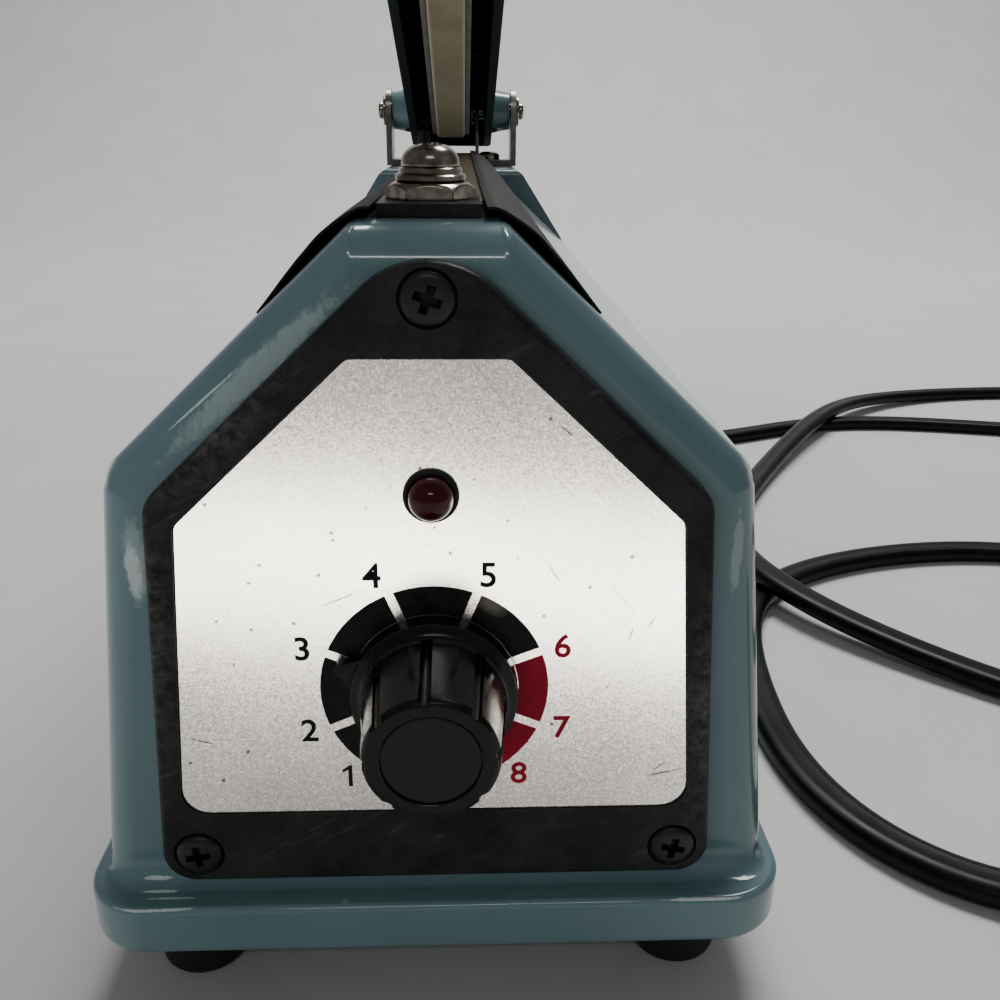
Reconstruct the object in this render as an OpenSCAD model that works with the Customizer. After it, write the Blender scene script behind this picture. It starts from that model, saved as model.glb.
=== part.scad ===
// Hand impulse sealer for plastic bags, drawn with its press arm open.
// Millimetres, +Z up, +Y to the rear. The origin is on the table, midway between the feet.

/* [Housing] */
// Width of the base flange
flange_w = 82.7; // [80:0.1:92]
// Length of the base flange
flange_l = 274; // [264:1:300]
// Height of the base flange
flange_h = 6.8; // [5:0.2:9]
// Flange in front of the casting
front_ledge = 5.5; // [4:0.1:7]
// Flange behind the casting
rear_ledge = 3; // [1:0.1:5]
// Housing width where it stands on the flange
base_w = 80.6; // [76:0.2:82]
// Housing width at the shoulders
shoulder_w = 68.3; // [66:0.1:72]
// Shoulders above the underside of the flange
shoulder_h = 57; // [55:0.1:60]
// Width of the sealing ridge
ridge_w = 15; // [13.4:0.1:17]
// Sealing ridge above the underside of the flange
housing_h = 82.2; // [80:0.1:87]
// Wall of the casting
wall = 3; // [2.2:0.1:3.4]
// Front wall of the casting
front_wall = 3.5; // [2.5:0.1:4.5]
// Rounding of the housing's front and rear edges
edge_r = 3.5; // [1:0.1:4]
// Rounding of the shoulders
shoulder_r = 5; // [1:0.1:6]
// Rounding of the ridge
ridge_r = 1.6; // [0.5:0.1:3]

/* [Hinge block] */
// Length of the block at the rear that carries the hinge
block_l = 50; // [46:0.5:56]
// Width of its top
block_w = 41; // [38:0.5:46]
// Its top below the ridge
block_drop = 3.9; // [3.6:0.1:6]
// Hinge axis in front of the rear face
hinge_in = 23; // [20:0.5:25]
// Hinge axis above the block
hinge_rise = 16.3; // [15.5:0.1:19]
// Hinge shaft diameter
shaft_d = 5; // [4:0.1:5.6]
// Overall width of the stirrup
stirrup_w = 41; // [40:0.5:46]
// Sheet thickness of the stirrup
stirrup_t = 1.8; // [1.2:0.1:2.2]
// Stirrup depth, front to rear
stirrup_d = 13; // [11:0.5:13.5]
// Shaft beyond each side of the stirrup
shaft_end = 2.5; // [2:0.1:4]
// Spacing of the stirrup screws
stirrup_screws_w = 24; // [22:0.5:28]
// Wire of the return spring
spring_wire = 1.2; // [0.9:0.05:1.3]
// Coils of the return spring
spring_turns = 6; // [3:1:6]

/* [Press arm] */
// Width of the arm
arm_w = 25.6; // [25:0.1:30]
// Arm tip in front of the casting when closed
arm_overhang = 37.5; // [30:0.5:60]
// Arm behind the hinge axis
arm_tail = 13; // [12:0.5:15]
// Wall of the arm
arm_wall = 2.2; // [1.6:0.1:2.6]
// Top of the arm above the hinge axis
arm_top = 9.5; // [9:0.1:14]
// Roof thickness of the arm
arm_roof = 2.5; // [1.8:0.1:3]
// Opening angle
open_angle = 17; // [12:0.5:20]
// Cross ribs of the arm, apart
rib_step = 56; // [50:1:62]
// Width of the strip holder
holder_w = 11.2; // [10.6:0.1:12]
// Wall of the strip holder
holder_wall = 1.2; // [0.8:0.1:1.5]
// Silicone strip clear of its holder, each side
strip_gap = 0.15; // [0.1:0.05:0.4]
// Silicone strip standing out of its holder
strip_proud = 1.2; // [0.8:0.1:2]
// Strip's rear end in front of the hinge axis
strip_back = 10; // [9:0.5:14]

/* [Sealing ridge] */
// Insulating strip thickness
insulation_t = 0.3; // [0.2:0.05:0.5]
// Width of the heating ribbon
ribbon_w = 2; // [1.5:0.1:5]
// Thickness of the heating ribbon
ribbon_t = 0.15; // [0.1:0.05:0.3]
// Thickness of the release cloth
cloth_t = 0.15; // [0.1:0.05:0.25]
// Clamp sheet, measured down the roof
sheet_w = 12.9; // [11:0.1:18]
// Clamp sheet thickness
sheet_t = 0.6; // [0.4:0.05:0.9]
// Clamp sheet on the ridge, before it turns down the roof
sheet_over = 1.8; // [1:0.1:2]
// Bow of the clamp sheet above the roof
sheet_bow = 0.8; // [0.4:0.1:2]
// Front terminal behind the front of the casting
terminal_in = 14; // [13:0.5:16]
// Width of the terminal insulator
insulator_w = 10.6; // [10:0.1:11]
// Thickness of the terminal insulator
insulator_t = 1.4; // [1:0.1:1.8]
// Terminal nut across its flats
nut_af = 8.4; // [7:0.1:9]
// Height of the terminal nut
nut_h = 1.8; // [1.4:0.1:2.4]
// Diameter of the terminal washers
washer_d = 7.4; // [6.5:0.1:8.5]

/* [Front panel] */
// Bezel thickness
bezel_t = 2.5; // [2:0.1:3.5]
// Bezel inside the housing at the shoulders
bezel_in = 5.2; // [4:0.1:6.4]
// Bezel inside the housing at the base
bezel_base_in = 7.5; // [6:0.1:9]
// Bezel above the flange
bezel_gap = 0.5; // [0.3:0.1:2]
// Bezel rim beside the face plate
rim_side = 3.2; // [2:0.1:4]
// Bezel rim below the face plate
rim_bottom = 10.5; // [9:0.1:11]
// Face plate thickness
plate_t = 0.6; // [0.4:0.1:0.8]
// Face plate below the bezel's face
plate_sunk = 0.3; // [0:0.1:0.5]
// Dial centre above the underside of the flange
dial_h = 33.9; // [33:0.1:35]
// Lamp above the underside of the flange
lamp_h = 56.1; // [55:0.1:58]
// Lamp diameter
lamp_d = 4.6; // [3:0.1:5]

/* [Timer knob] */
// Diameter of the skirt
knob_d = 18; // [17:0.1:21]
// Diameter of the grip at the cap
knob_cap_d = 13.4; // [12.6:0.1:15]
// Height from the face plate
knob_h = 13.5; // [12.5:0.1:16]
// Flutes round the grip
flutes = 8; // [6:1:24]
// Direction of the pointer, from straight up, to the left
pointer_at = 72; // [20:1:140]
// Diameter of the timer's shaft
pot_shaft_d = 6; // [5:0.1:6.2]

/* [Feet and bottom] */
// Height of the rubber feet
foot_h = 9.4; // [6:0.1:12]
// Diameter of the rubber feet
foot_d = 12.5; // [11:0.1:13]
// Foot centre in from the flange's side
foot_in = 11; // [9:0.1:12]
// Foot centre in from the flange's end
foot_end_in = 11.2; // [10.8:0.1:14]
// Bottom plate thickness
bottom_t = 1.2; // [0.8:0.1:2]

/* [Power] */
// Width of the transformer core
core_w = 54; // [48:1:55]
// Height of the transformer core
core_h = 46; // [40:1:48]
// Stack of the transformer core
core_stack = 38; // [30:1:46]
// Plunger diameter
plunger_d = 4; // [3:0.1:4.4]

/* [Lead] */
// Width of the flat mains lead
cord_w = 6.4; // [5.4:0.1:7]
// Thickness of the flat mains lead
cord_t = 4; // [3.4:0.1:4.4]
// Lead's exit above the underside of the flange
gland_h = 16.6; // [16:0.1:24]
// Length of the strain relief
boot_l = 20; // [20:1:30]

/* [Hidden] */
$fn = 48;

// Clearances: a running fit, a free hole, flat pieces side by side, and moving pieces
run = 0.05;
free = 0.1;
side = 0.15;
apart = 0.3;
// Small overlap that makes a cut go right through, and the thickness of a slice
cut = 1;
thin = 0.01;
// Screws: small ones of 3 mm and the stirrup's of 4 mm
m3 = 3;
m3_head = 5.6;
m3_head_h = 2;
m4 = 4;
m4_head = 7;
m4_head_h = 2.4;

// Levels and ends of the housing
flange_z = foot_h;
ledge_z = foot_h + flange_h;
shoulder_z = foot_h + shoulder_h;
ridge_z = foot_h + housing_h;
block_z = ridge_z - block_drop;
y_front = -flange_l / 2 + front_ledge;
y_rear = flange_l / 2 - rear_ledge;
y_block = y_rear - block_l;
flare = (base_w - shoulder_w) / 2 / (shoulder_z - ledge_z);
roof_angle = atan2(ridge_z - shoulder_z, (shoulder_w - ridge_w) / 2);
floor_z = foot_h + bottom_t;

function half_w(z) = shoulder_w / 2 + (shoulder_z - z) * flare;
function unit(v) = v / norm(v);
function turn(a) = a > 180 ? a - 360 : a < -180 ? a + 360 : a;
function before(p, i) = p[(i + len(p) - 1) % len(p)];
function after(p, i) = p[(i + 1) % len(p)];
function corner_half(p, i) = acos(unit(before(p, i) - p[i]) * unit(after(p, i) - p[i])) / 2;
function corner_mid(p, i) = unit(unit(before(p, i) - p[i]) + unit(after(p, i) - p[i]));

// An outline of convex corners moved inwards by d
function inset(p, d) = [
    for (i = [0 : len(p) - 1]) p[i] + corner_mid(p, i) * d / sin(corner_half(p, i))
];

function direction(v) = atan2(v[1], v[0]);
function fillet(p, i, r, n) =
    let (
        half = corner_half(p, i),
        centre = p[i] + corner_mid(p, i) * r / sin(half),
        from = direction(p[i] + unit(before(p, i) - p[i]) * r / tan(half) - centre),
        to = direction(p[i] + unit(after(p, i) - p[i]) * r / tan(half) - centre),
        sweep = turn(to - from)
    )
    [for (k = [0 : n]) centre + r * [cos(from + sweep * k / n), sin(from + sweep * k / n)]];

// An outline with each corner rounded by its own radius
function rounded(p, radii, n = 6) = [
    for (i = [0 : len(p) - 1]) each radii[i] > 0 ? fillet(p, i, radii[i], n) : [p[i]]
];

module along_y(from, to) {
    translate([0, to, 0]) rotate([90, 0, 0]) linear_extrude(to - from) children();
}

module along_x(from, to) {
    translate([from, 0, 0]) rotate([90, 0, 90]) linear_extrude(to - from) children();
}

module box(low, high) {
    translate(low) cube(high - low);
}

// A round rod or hole along Y, seen from the front at x and z
module rod_y(x, z, d, from, to) {
    translate([x, from, z]) rotate([-90, 0, 0]) cylinder(d = d, h = to - from);
}

module rod_x(y, z, d, from, to) {
    translate([from, y, z]) rotate([0, 90, 0]) cylinder(d = d, h = to - from);
}

module rod_z(x, y, d, from, to) {
    translate([x, y, from]) cylinder(d = d, h = to - from);
}

module mirrored() {
    children();
    mirror([1, 0, 0]) children();
}

// Screw with a domed head on z = 0, its shank downwards and a cross in the head
module screw(d, head, head_h, shank) {
    crown = head * 0.3;
    difference() {
        union() {
            translate([0, 0, -shank]) cylinder(d = d, h = shank + head_h / 2);
            rotate_extrude()
                polygon(concat(
                    [[0, 0], [head / 2, 0], [head / 2, head_h * 0.45]],
                    [for (a = [15 : 15 : 90]) [
                        head / 2 - crown + crown * cos(a),
                        head_h * (0.45 + 0.55 * sin(a))
                    ]],
                    [[0, head_h]]
                ));
        }
        for (a = [0, 90]) {
            rotate([0, 0, a])
                translate([-head * 0.3, -head * 0.07, head_h * 0.45])
                cube([head * 0.6, head * 0.14, head_h]);
        }
    }
}

module screw_m3(shank) {
    screw(m3, m3_head, m3_head_h, shank);
}

// Housing outline, starting at height z, seen from the front
function outline(z) = [
    [-half_w(z), z], [half_w(z), z],
    [shoulder_w / 2, shoulder_z], [ridge_w / 2, ridge_z],
    [-ridge_w / 2, ridge_z], [-shoulder_w / 2, shoulder_z]
];
outline_r = [0, 0, shoulder_r, ridge_r, ridge_r, shoulder_r];
// Corners of the flange in plan, and its top edge
flange_r = 5;
flange_edge_r = 2.5;
block_low = shoulder_z - 2;
block_outline = [
    [-half_w(block_low) + 0.4, block_low], [half_w(block_low) - 0.4, block_low],
    [block_w / 2, block_z], [-block_w / 2, block_z]
];
block_r = [0, 0, 4.5, 4.5];

// One ring of an outline at y, moved inwards by d
function end_ring(p, radii, y, d) = [
    for (q = rounded(inset(p, d), [for (s = radii) s > 0 ? max(s - d, 0.4) : 0])) [q[0], y, q[1]]
];

// A bar along Y whose end edges are rounded by r
module rounded_bar(p, radii, from, to, r) {
    tube(concat(
        [for (a = [0 : 22.5 : 90]) end_ring(p, radii, from + r * (1 - cos(a)), r * (1 - sin(a)))],
        [for (a = [90 : -22.5 : 0]) end_ring(p, radii, to - r * (1 - cos(a)), r * (1 - sin(a)))]
    ));
}

// Bezel and face plate outlines
panel_y = y_front - bezel_t;
bezel_zb = ledge_z + bezel_gap;
bezel_drop = 1.7;
bezel_zs = shoulder_z - bezel_drop;
bezel_s = shoulder_w / 2 - bezel_in;
bezel_b = half_w(bezel_zb) - bezel_base_in;
bezel_za = bezel_zs + bezel_s * tan(roof_angle);
bezel_outline = [
    [-bezel_b, bezel_zb], [bezel_b, bezel_zb], [bezel_s, bezel_zs],
    [0, bezel_za], [-bezel_s, bezel_zs]
];
bezel_r = [5, 5, 3.5, 9, 3.5];
function bezel_half(z) = bezel_b - (z - bezel_zb) * (bezel_b - bezel_s) / (bezel_zs - bezel_zb);
plate_zb = bezel_zb + rim_bottom;
plate_shoulder_drop = 2.4;
plate_top_drop = 12.7;
plate_zs = bezel_zs - plate_shoulder_drop;
plate_zt = bezel_za - plate_top_drop;
plate_b = bezel_half(plate_zb) - rim_side;
plate_s = bezel_half(plate_zs) - rim_side;
plate_top = plate_s - (plate_zt - plate_zs) / tan(roof_angle);
plate_outline = [
    [-plate_b, plate_zb], [plate_b, plate_zb], [plate_s, plate_zs],
    [plate_top, plate_zt], [-plate_top, plate_zt], [-plate_s, plate_zs]
];
plate_r = [3, 3, 1.2, 1.2, 1.2, 1.2];
recess_y = panel_y + plate_sunk + plate_t;
plate_y = recess_y - plate_t;
dial_z = foot_h + dial_h;
lamp_z = foot_h + lamp_h;
lamp_flange_d = lamp_d + 0.8;
// Bezel screws, x and z
top_screw_drop = 6.9;
low_screw_in = 5.3;
low_screw_up = 4.9;
screw_sunk = 0.5;
bezel_screw_at = [
    [0, bezel_za - top_screw_drop],
    [bezel_b - low_screw_in, bezel_zb + low_screw_up],
    [-bezel_b + low_screw_in, bezel_zb + low_screw_up]
];
bezel_screw_l = bezel_t - screw_sunk + front_wall + apart;

// Feet, x and y
foot_x = flange_w / 2 - foot_in;
foot_y = flange_l / 2 - foot_end_in;
foot_at = [for (x = [-foot_x, foot_x], y = [-foot_y, foot_y]) [x, y]];
foot_boss_d = 9;
foot_boss_h = 16;
foot_bore = 4;
foot_grip = 12;
foot_rib = 2;
// Recess of the bottom plate in the flange
recess_x = half_w(flange_z) - wall + 1.2;
recess_front = y_front + front_wall - 1.2;
recess_rear = y_rear - wall + 1.2;

// Hinge
hinge_y = y_rear - hinge_in;
hinge_z = block_z + hinge_rise;
leg_out = stirrup_w / 2;
leg_in = leg_out - stirrup_t;
stirrup_hole_at = [-stirrup_screws_w / 2, stirrup_screws_w / 2];
stirrup_boss_d = 8;
stirrup_boss_l = 8;

// Stack on the ridge
insulation_z = ridge_z + insulation_t;
ribbon_z = insulation_z + ribbon_t;
cloth_z = ribbon_z + 0.05;
cloth_top = cloth_z + cloth_t;
close_gap = 0.35;
terminal_y = y_front + terminal_in;
insulator_l = 14;
rear_terminal_y = y_block + 7;
ribbon_front = terminal_y + insulator_l / 2;

// Arm, in its own frame: the hinge axis is at 0 and the arm lies closed along -Y
strip_low = -(hinge_z - cloth_top - close_gap);
holder_low = strip_low + strip_proud;
holder_top = holder_low + 7.2;
holder_roof = 1.5;
arm_low = strip_low + 3.4;
arm_in = arm_w / 2 - arm_wall;
strip_w = holder_w - 2 * holder_wall - 2 * strip_gap;
roof_in = arm_top - arm_roof;
arm_l = hinge_y - y_front + arm_overhang;
handle_l = 44;
// Front end of the arm's hollow, past the front terminal
hollow_front = hinge_y - terminal_y + washer_d / 2 + 2.5;
strip_front = hinge_y - ribbon_front - 2.5;
rib_t = 2;
rib_at = [for (k = [1 : floor((strip_front - 20) / rib_step)]) -k * rib_step];

// Switch plunger and the pad of the arm that presses it
pad_gap = 0.6;
pad_in = holder_w / 2 + pad_gap;
plunger_x = -(pad_in + arm_in) / 2;
plunger_in = 10;
pad_r = 3;
pad_z = arm_low + pad_r;
pad_open_z = plunger_in * sin(open_angle) + pad_z * cos(open_angle) - pad_r;
plunger_y = hinge_y - plunger_in;
plunger_top = hinge_z + pad_open_z - apart - 0.05;
guide_l = 12;
guide_d = 9;
collar_h = 1.5;
guide_low = block_z - guide_l;
button_top = guide_low - 8.2;
switch_top = button_top - 3.5;
switch_l = 27.8;
switch_w = 10.3;
switch_h = 16;
switch_y = plunger_y - 12;
switch_side = plunger_x + switch_w / 2;
bracket_t = 1.5;
bracket_low = switch_top - switch_h - 1;
bracket_high = switch_top + 1;
bracket_screw_x = 6;
bracket_screw_z = [bracket_low + 4.5, bracket_high - 4.5];
switch_screw_at = [[switch_y + 3, switch_top - switch_h + 3], [switch_y + 24, switch_top - 4.5]];
switch_screw_d = 2.4;

// Timer: potentiometer, bushing and board behind the panel
pot_d = 16.5;
pot_depth = 9;
pot_bush_d = pot_shaft_d + 1;
bush_front = plate_y - 3.3;
board_y = y_front + pot_depth;
board_t = 1.6;
board_w = 44;
board_below = 12;
board_above = 5.5;
shaft_back = board_y - 2.8;

// Transformer on the bottom plate
trafo_y = 10;
yoke = core_w / 6;
core_top = floor_z + core_h;
strap_t = 1.2;
strap_w = 18;
strap_foot = 7;
strap_screw_y = core_w / 2 + free + strap_t + strap_foot / 2;

// Lead: gland in the rear wall
gland_x = 18;
gland_z = foot_h + gland_h;
gland_d = 9;
collar_y = y_rear + 3;
boot_y = collar_y + boot_l;
cord_z = cord_t / 2 + 0.05;
// Height of the lead where it crosses itself, and on the way up to it
over_z = cord_z + cord_t + 0.55;
rise_z = cord_z + cord_t / 2;
plug_z = 6.9;

// Route of the lead from the strain relief to the plug, on the table
route = [
    [gland_x, boot_y, gland_z], [19, 177, 23], [33, 204, 11], [58, 213, 4], [79, 199, cord_z],
    [78, 166, cord_z], [61, 138, cord_z], [50, 114, cord_z], [58, 92, cord_z], [79, 83, cord_z],
    [102, 92, cord_z], [130, 106, cord_z], [165, 104, cord_z], [199, 94, cord_z], [230, 89, cord_z],
    [252, 99, cord_z], [259, 120, cord_z], [249, 140, cord_z], [225, 147, cord_z],
    [185, 143, cord_z], [152, 128, rise_z], [128, 101, over_z], [106, 70, rise_z], [84, 35, cord_z],
    [69, 7, rise_z], [68, -22, over_z], [82, -46, rise_z], [106, -71, cord_z], [131, -90, cord_z],
    [160, -85, cord_z], [179, -56, cord_z], [168, -22, cord_z], [140, -6, cord_z],
    [105, -9, cord_z], [70, -19, cord_z], [53, -38, cord_z], [52, -64, cord_z], [58, -93, cord_z],
    [76, -118, cord_z], [117, -127, plug_z]
];
// The lead leaves the gland straight to the rear and enters the plug along +X
leave = [0, 1, 0];
enter = [1, 0, 0];

function spline(a, b, c, d, t) =
    0.5 * (2 * b + (c - a) * t + (2 * a - 5 * b + 4 * c - d) * t * t
    + (3 * b - a - 3 * c + d) * t * t * t);
function route_point(p, i) =
    i < 0 ? p[0] - leave * norm(p[1] - p[0])
    : i >= len(p) ? p[len(p) - 1] + enter * norm(p[len(p) - 1] - p[len(p) - 2])
    : p[i];
function smooth(p, steps) = [
    for (i = [0 : len(p) - 2], k = [0 : steps - 1])
        spline(route_point(p, i - 1), p[i], p[i + 1], route_point(p, i + 2), k / steps),
    p[len(p) - 1]
];
function length(p) =
    [for (i = [1 : len(p) - 1]) norm(p[i] - p[i - 1])] * [for (i = [1 : len(p) - 1]) 1];

// A closed tube of triangles whose rings are lists of points
module tube(rings) {
    n = len(rings[0]);
    last = len(rings) - 1;
    walls = [
        for (i = [0 : last - 1], k = [0 : n - 1])
            let (a = i * n + k, b = i * n + (k + 1) % n)
            each [[a, b, b + n], [a, b + n, a + n]]
    ];
    ends = [
        for (k = [1 : n - 2])
            each [[0, k + 1, k], [last * n, last * n + k, last * n + k + 1]]
    ];
    polyhedron(points = [for (r = rings) each r], faces = concat(walls, ends), convexity = 10);
}

function heading(p, i, first, final) =
    i == 0 ? first : i == len(p) - 1 ? final : unit(p[i + 1] - p[i - 1]);

// Rings of a flat lead that lies level: an oval across the route
function flat_ring(at, way, w, t, n) =
    let (across = unit(cross(way, [0, 0, 1])), up = cross(across, way))
    [for (k = [0 : n - 1]) let (a = 360 / n * (k + 0.5))
        at + across * cos(a) * w / 2 / cos(180 / n) + up * sin(a) * t / 2 / cos(180 / n)];

cord_sides = 10;
cord_line = smooth(route, 2);
cord_rings = [
    for (i = [0 : len(cord_line) - 1])
        flat_ring(cord_line[i], heading(cord_line, i, leave, enter), cord_w, cord_t, cord_sides)
];
echo(lead_length = length(smooth(route, 8)));

// Return spring round the hinge shaft: a leg under the arm's roof, the coils, and a leg on the stirrup
spring_r = shaft_d / 2 + 0.45 + spring_wire / 2;
spring_pitch = spring_wire + 0.5;
spring_side = 0.65;
spring_x = arm_in - spring_side - spring_wire / 2 - spring_turns * spring_pitch;
curl = 8;
roof_leg = 18;
function spring_at(x, r, a) = [x, hinge_y + r * cos(a), hinge_z + r * sin(a)];
// In the arm's open frame, a point y behind and z above the hinge axis
function on_arm(x, y, z) = [
    x,
    hinge_y + y * cos(open_angle) + z * sin(open_angle),
    hinge_z - y * sin(open_angle) + z * cos(open_angle)
];
spring_start = 90 - open_angle;
spring_stop = 180;
spring_sweep = 360 * (spring_turns - 1) + spring_stop - spring_start;
spring_steps = round(curl * spring_sweep / 360);
spring_coil = [
    for (k = [0 : spring_steps])
        spring_at(
            spring_x + spring_pitch * spring_sweep * k / spring_steps / 360,
            spring_r,
            spring_start + spring_sweep * k / spring_steps
        )
];
stirrup_top = block_z + stirrup_t;
spring_foot = spring_coil[len(spring_coil) - 1];
spring_line = concat(
    [on_arm(spring_x, -roof_leg, roof_in - spring_wire / 2 - apart)],
    [on_arm(spring_x, -roof_leg / 2, (roof_in + spring_r) / 2 - spring_wire / 2)],
    spring_coil,
    [[spring_foot[0], spring_foot[1], hinge_z - spring_r * 1.4],
     [spring_foot[0], spring_foot[1], stirrup_top + apart / 3]]
);
function ring_axes(way, hint) = let (u = unit(cross(way, hint))) [u, cross(u, way)];
spring_rings = [
    for (i = [0 : len(spring_line) - 1])
        let (
            way = i == 0 ? unit(spring_line[1] - spring_line[0])
                : i == len(spring_line) - 1 ? unit(spring_line[i] - spring_line[i - 1])
                : unit(spring_line[i + 1] - spring_line[i - 1]),
            axes = ring_axes(way, [1, 0, 0])
        )
        [for (k = [0 : 5]) spring_line[i]
            + (axes[0] * cos(60 * k) + axes[1] * sin(60 * k)) * spring_wire / 2]
];
spring_gap = min([
    for (i = [0 : len(spring_line) - 1], k = [i + 5 : 1 : len(spring_line) - 1])
        norm(spring_line[i] - spring_line[k])
]) - spring_wire;
echo(spring_least_gap = spring_gap);

// Clamp sheet across the roof, from the ridge's edge downwards, as an arc over its chord
sheet_lift = 0.35;
function roof_point(s, h) = [
    ridge_w / 2 + s * cos(roof_angle) + h * sin(roof_angle),
    ridge_z - s * sin(roof_angle) + h * cos(roof_angle)
];
function bow(s) = sheet_bow * (1 - pow(2 * s / sheet_w - 1, 2));
sheet_steps = 10;
sheet_z = cloth_top + 0.07;
sheet_from = ridge_w / 2 - sheet_over;
sheet_bend = ridge_w / 2 - 0.2;
sheet_outline = concat(
    [[sheet_from, sheet_z], [sheet_bend, sheet_z]],
    [for (k = [1 : sheet_steps]) let (s = sheet_w * k / sheet_steps)
        roof_point(s, sheet_lift + bow(s))],
    [for (k = [sheet_steps : -1 : 1]) let (s = sheet_w * k / sheet_steps)
        roof_point(s, sheet_lift + bow(s) + sheet_t)],
    [[sheet_bend + sheet_t * tan(roof_angle / 2), sheet_z + sheet_t], [sheet_from, sheet_z + sheet_t]]
);
sheet_front = y_front + edge_r + 1.5;
sheet_rear = y_block - 1.5;
cloth_down = 12;
cloth_front = ribbon_front + 1;
cloth_rear = sheet_rear - 1;

module body_casting() {
    color("#1e6a70")
    difference() {
        union() {
            difference() {
                rounded_bar(outline(ledge_z - edge_r - 0.5), outline_r, y_front, y_rear, edge_r);
                box([-flange_w, y_block, block_z - 1], [flange_w, y_rear + cut, ridge_z + cut]);
            }
            rounded_bar(block_outline, block_r, y_block - 1, y_rear - 0.4, 2.5);
            base_flange();
        }
        difference() {
            cavity();
            inner_bosses();
        }
        box([-recess_x, recess_front, 0], [recess_x, recess_rear, floor_z]);
        along_y(y_front - cut, y_front + front_wall + cut) polygon(inset(plate_outline, 3));
        rod_y(0, lamp_z, lamp_flange_d + 2 * side, y_front - cut, y_front + front_wall + cut);
        for (s = bezel_screw_at) {
            rod_y(s[0], s[1], m3 + 2 * free, y_front - cut, y_front + front_wall + cut);
        }
        for (f = foot_at) rod_z(f[0], f[1], m3 + 2 * free, 0, floor_z + foot_boss_h - 2);
        for (x = stirrup_hole_at) {
            rod_z(x, hinge_y, m4 + 2 * free, block_z - wall - stirrup_boss_l - cut, block_z + cut);
        }
        rod_z(plunger_x, plunger_y, plunger_d + 2 * run, guide_low - cut, block_z + cut);
        rod_z(0, terminal_y, m3 + 2 * free, ridge_z - wall - cut, ridge_z + cut);
        rod_z(0, rear_terminal_y, m3 + 2 * free, block_z - wall - cut, block_z + cut);
        rod_y(gland_x, gland_z, gland_d, y_rear - wall - cut, y_rear + cut);
        for (z = bracket_screw_z) {
            rod_y(bracket_screw_x, z, m3 + 2 * free, y_rear - wall - cut, y_rear + cut);
        }
    }
}

function flange_ring(d, z) =
    let (x = flange_w / 2 - d, y = flange_l / 2 - d)
    [for (q = rounded([[-x, -y], [x, -y], [x, y], [-x, y]], [for (k = [0 : 3]) flange_r - d]))
        [q[0], q[1], z]];

module base_flange() {
    tube(concat(
        [for (a = [0 : 22.5 : 90]) flange_ring(
            flange_edge_r * (1 - sin(a)), ledge_z - flange_edge_r * (1 - cos(a)))],
        [flange_ring(0, flange_z)]
    ));
}

// Hollow of the housing, lower under the hinge block
module cavity() {
    difference() {
        along_y(y_front + front_wall, y_rear - wall)
            polygon(inset(outline(flange_z - wall - cut), wall));
        box([-flange_w, y_block - wall, block_z - wall], [flange_w, y_rear, ridge_z]);
    }
}

module inner_bosses() {
    for (f = foot_at) {
        rod_z(f[0], f[1], foot_boss_d, floor_z, floor_z + foot_boss_h);
        mirror([f[0] < 0 ? 1 : 0, 0, 0])
            box([foot_x, f[1] - foot_rib / 2, floor_z],
                [half_w(floor_z), f[1] + foot_rib / 2, floor_z + foot_boss_h]);
    }
    for (x = stirrup_hole_at) {
        rod_z(x, hinge_y, stirrup_boss_d, block_z - wall - stirrup_boss_l, block_z);
    }
    rod_z(plunger_x, plunger_y, guide_d, guide_low, block_z);
}

module bottom_plate() {
    x = recess_x - side;
    color("#8d9194")
    difference() {
        box([-x, recess_front + side, flange_z], [x, recess_rear - side, floor_z]);
        for (f = foot_at) rod_z(f[0], f[1], m3 + 2 * free, 0, floor_z + cut);
        for (y = [-strap_screw_y, strap_screw_y]) {
            rod_z(0, trafo_y + y, m3 + 2 * free, 0, floor_z + cut);
        }
        for (y = [-90 : 12 : -42], x = [-12, 12]) {
            translate([x, y, 0]) linear_extrude(floor_z + cut) slot(14, 3);
        }
    }
}

module slot(l, w) {
    square([l - w, w], center = true);
    for (x = [-(l - w) / 2, (l - w) / 2]) translate([x, 0]) circle(d = w);
}

module rubber_feet() {
    color("#17181a")
    for (f = foot_at) {
        translate([f[0], f[1], 0]) difference() {
            rotate_extrude() polygon([
                [0, 0], [foot_d / 2 - 1.6, 0], [foot_d / 2 - 0.8, 0.8],
                [foot_d / 2, foot_h - 0.6], [foot_d / 2 - 0.4, foot_h], [0, foot_h]
            ]);
            translate([0, 0, -cut]) cylinder(d = m3 + 2 * free, h = foot_h + 2 * cut);
            translate([0, 0, -cut]) cylinder(d = m3_head + 1, h = foot_bore + cut);
        }
    }
}

module foot_screws() {
    color("#b9bcbe")
    for (f = foot_at) {
        translate([f[0], f[1], foot_bore]) rotate([180, 0, 0])
            screw_m3(foot_h - foot_bore + bottom_t + foot_grip);
    }
}

module front_bezel() {
    bevel = 0.8;
    color("#141516")
    difference() {
        hull() {
            along_y(panel_y, panel_y + thin) polygon(rounded(inset(bezel_outline, bevel), bezel_r));
            along_y(panel_y + bevel, y_front) polygon(rounded(bezel_outline, bezel_r));
        }
        along_y(panel_y - cut, recess_y) polygon(rounded(inset(plate_outline, -side), plate_r));
        rod_y(0, lamp_z, lamp_d + 2 * free, panel_y - cut, y_front + cut);
        rod_y(0, dial_z, pot_bush_d + 2 * free, panel_y - cut, y_front + cut);
        for (s = bezel_screw_at) {
            rod_y(s[0], s[1], m3 + 2 * free, panel_y - cut, y_front + cut);
            rod_y(s[0], s[1], m3_head + 0.8, panel_y - cut, panel_y + screw_sunk);
        }
    }
}

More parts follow.
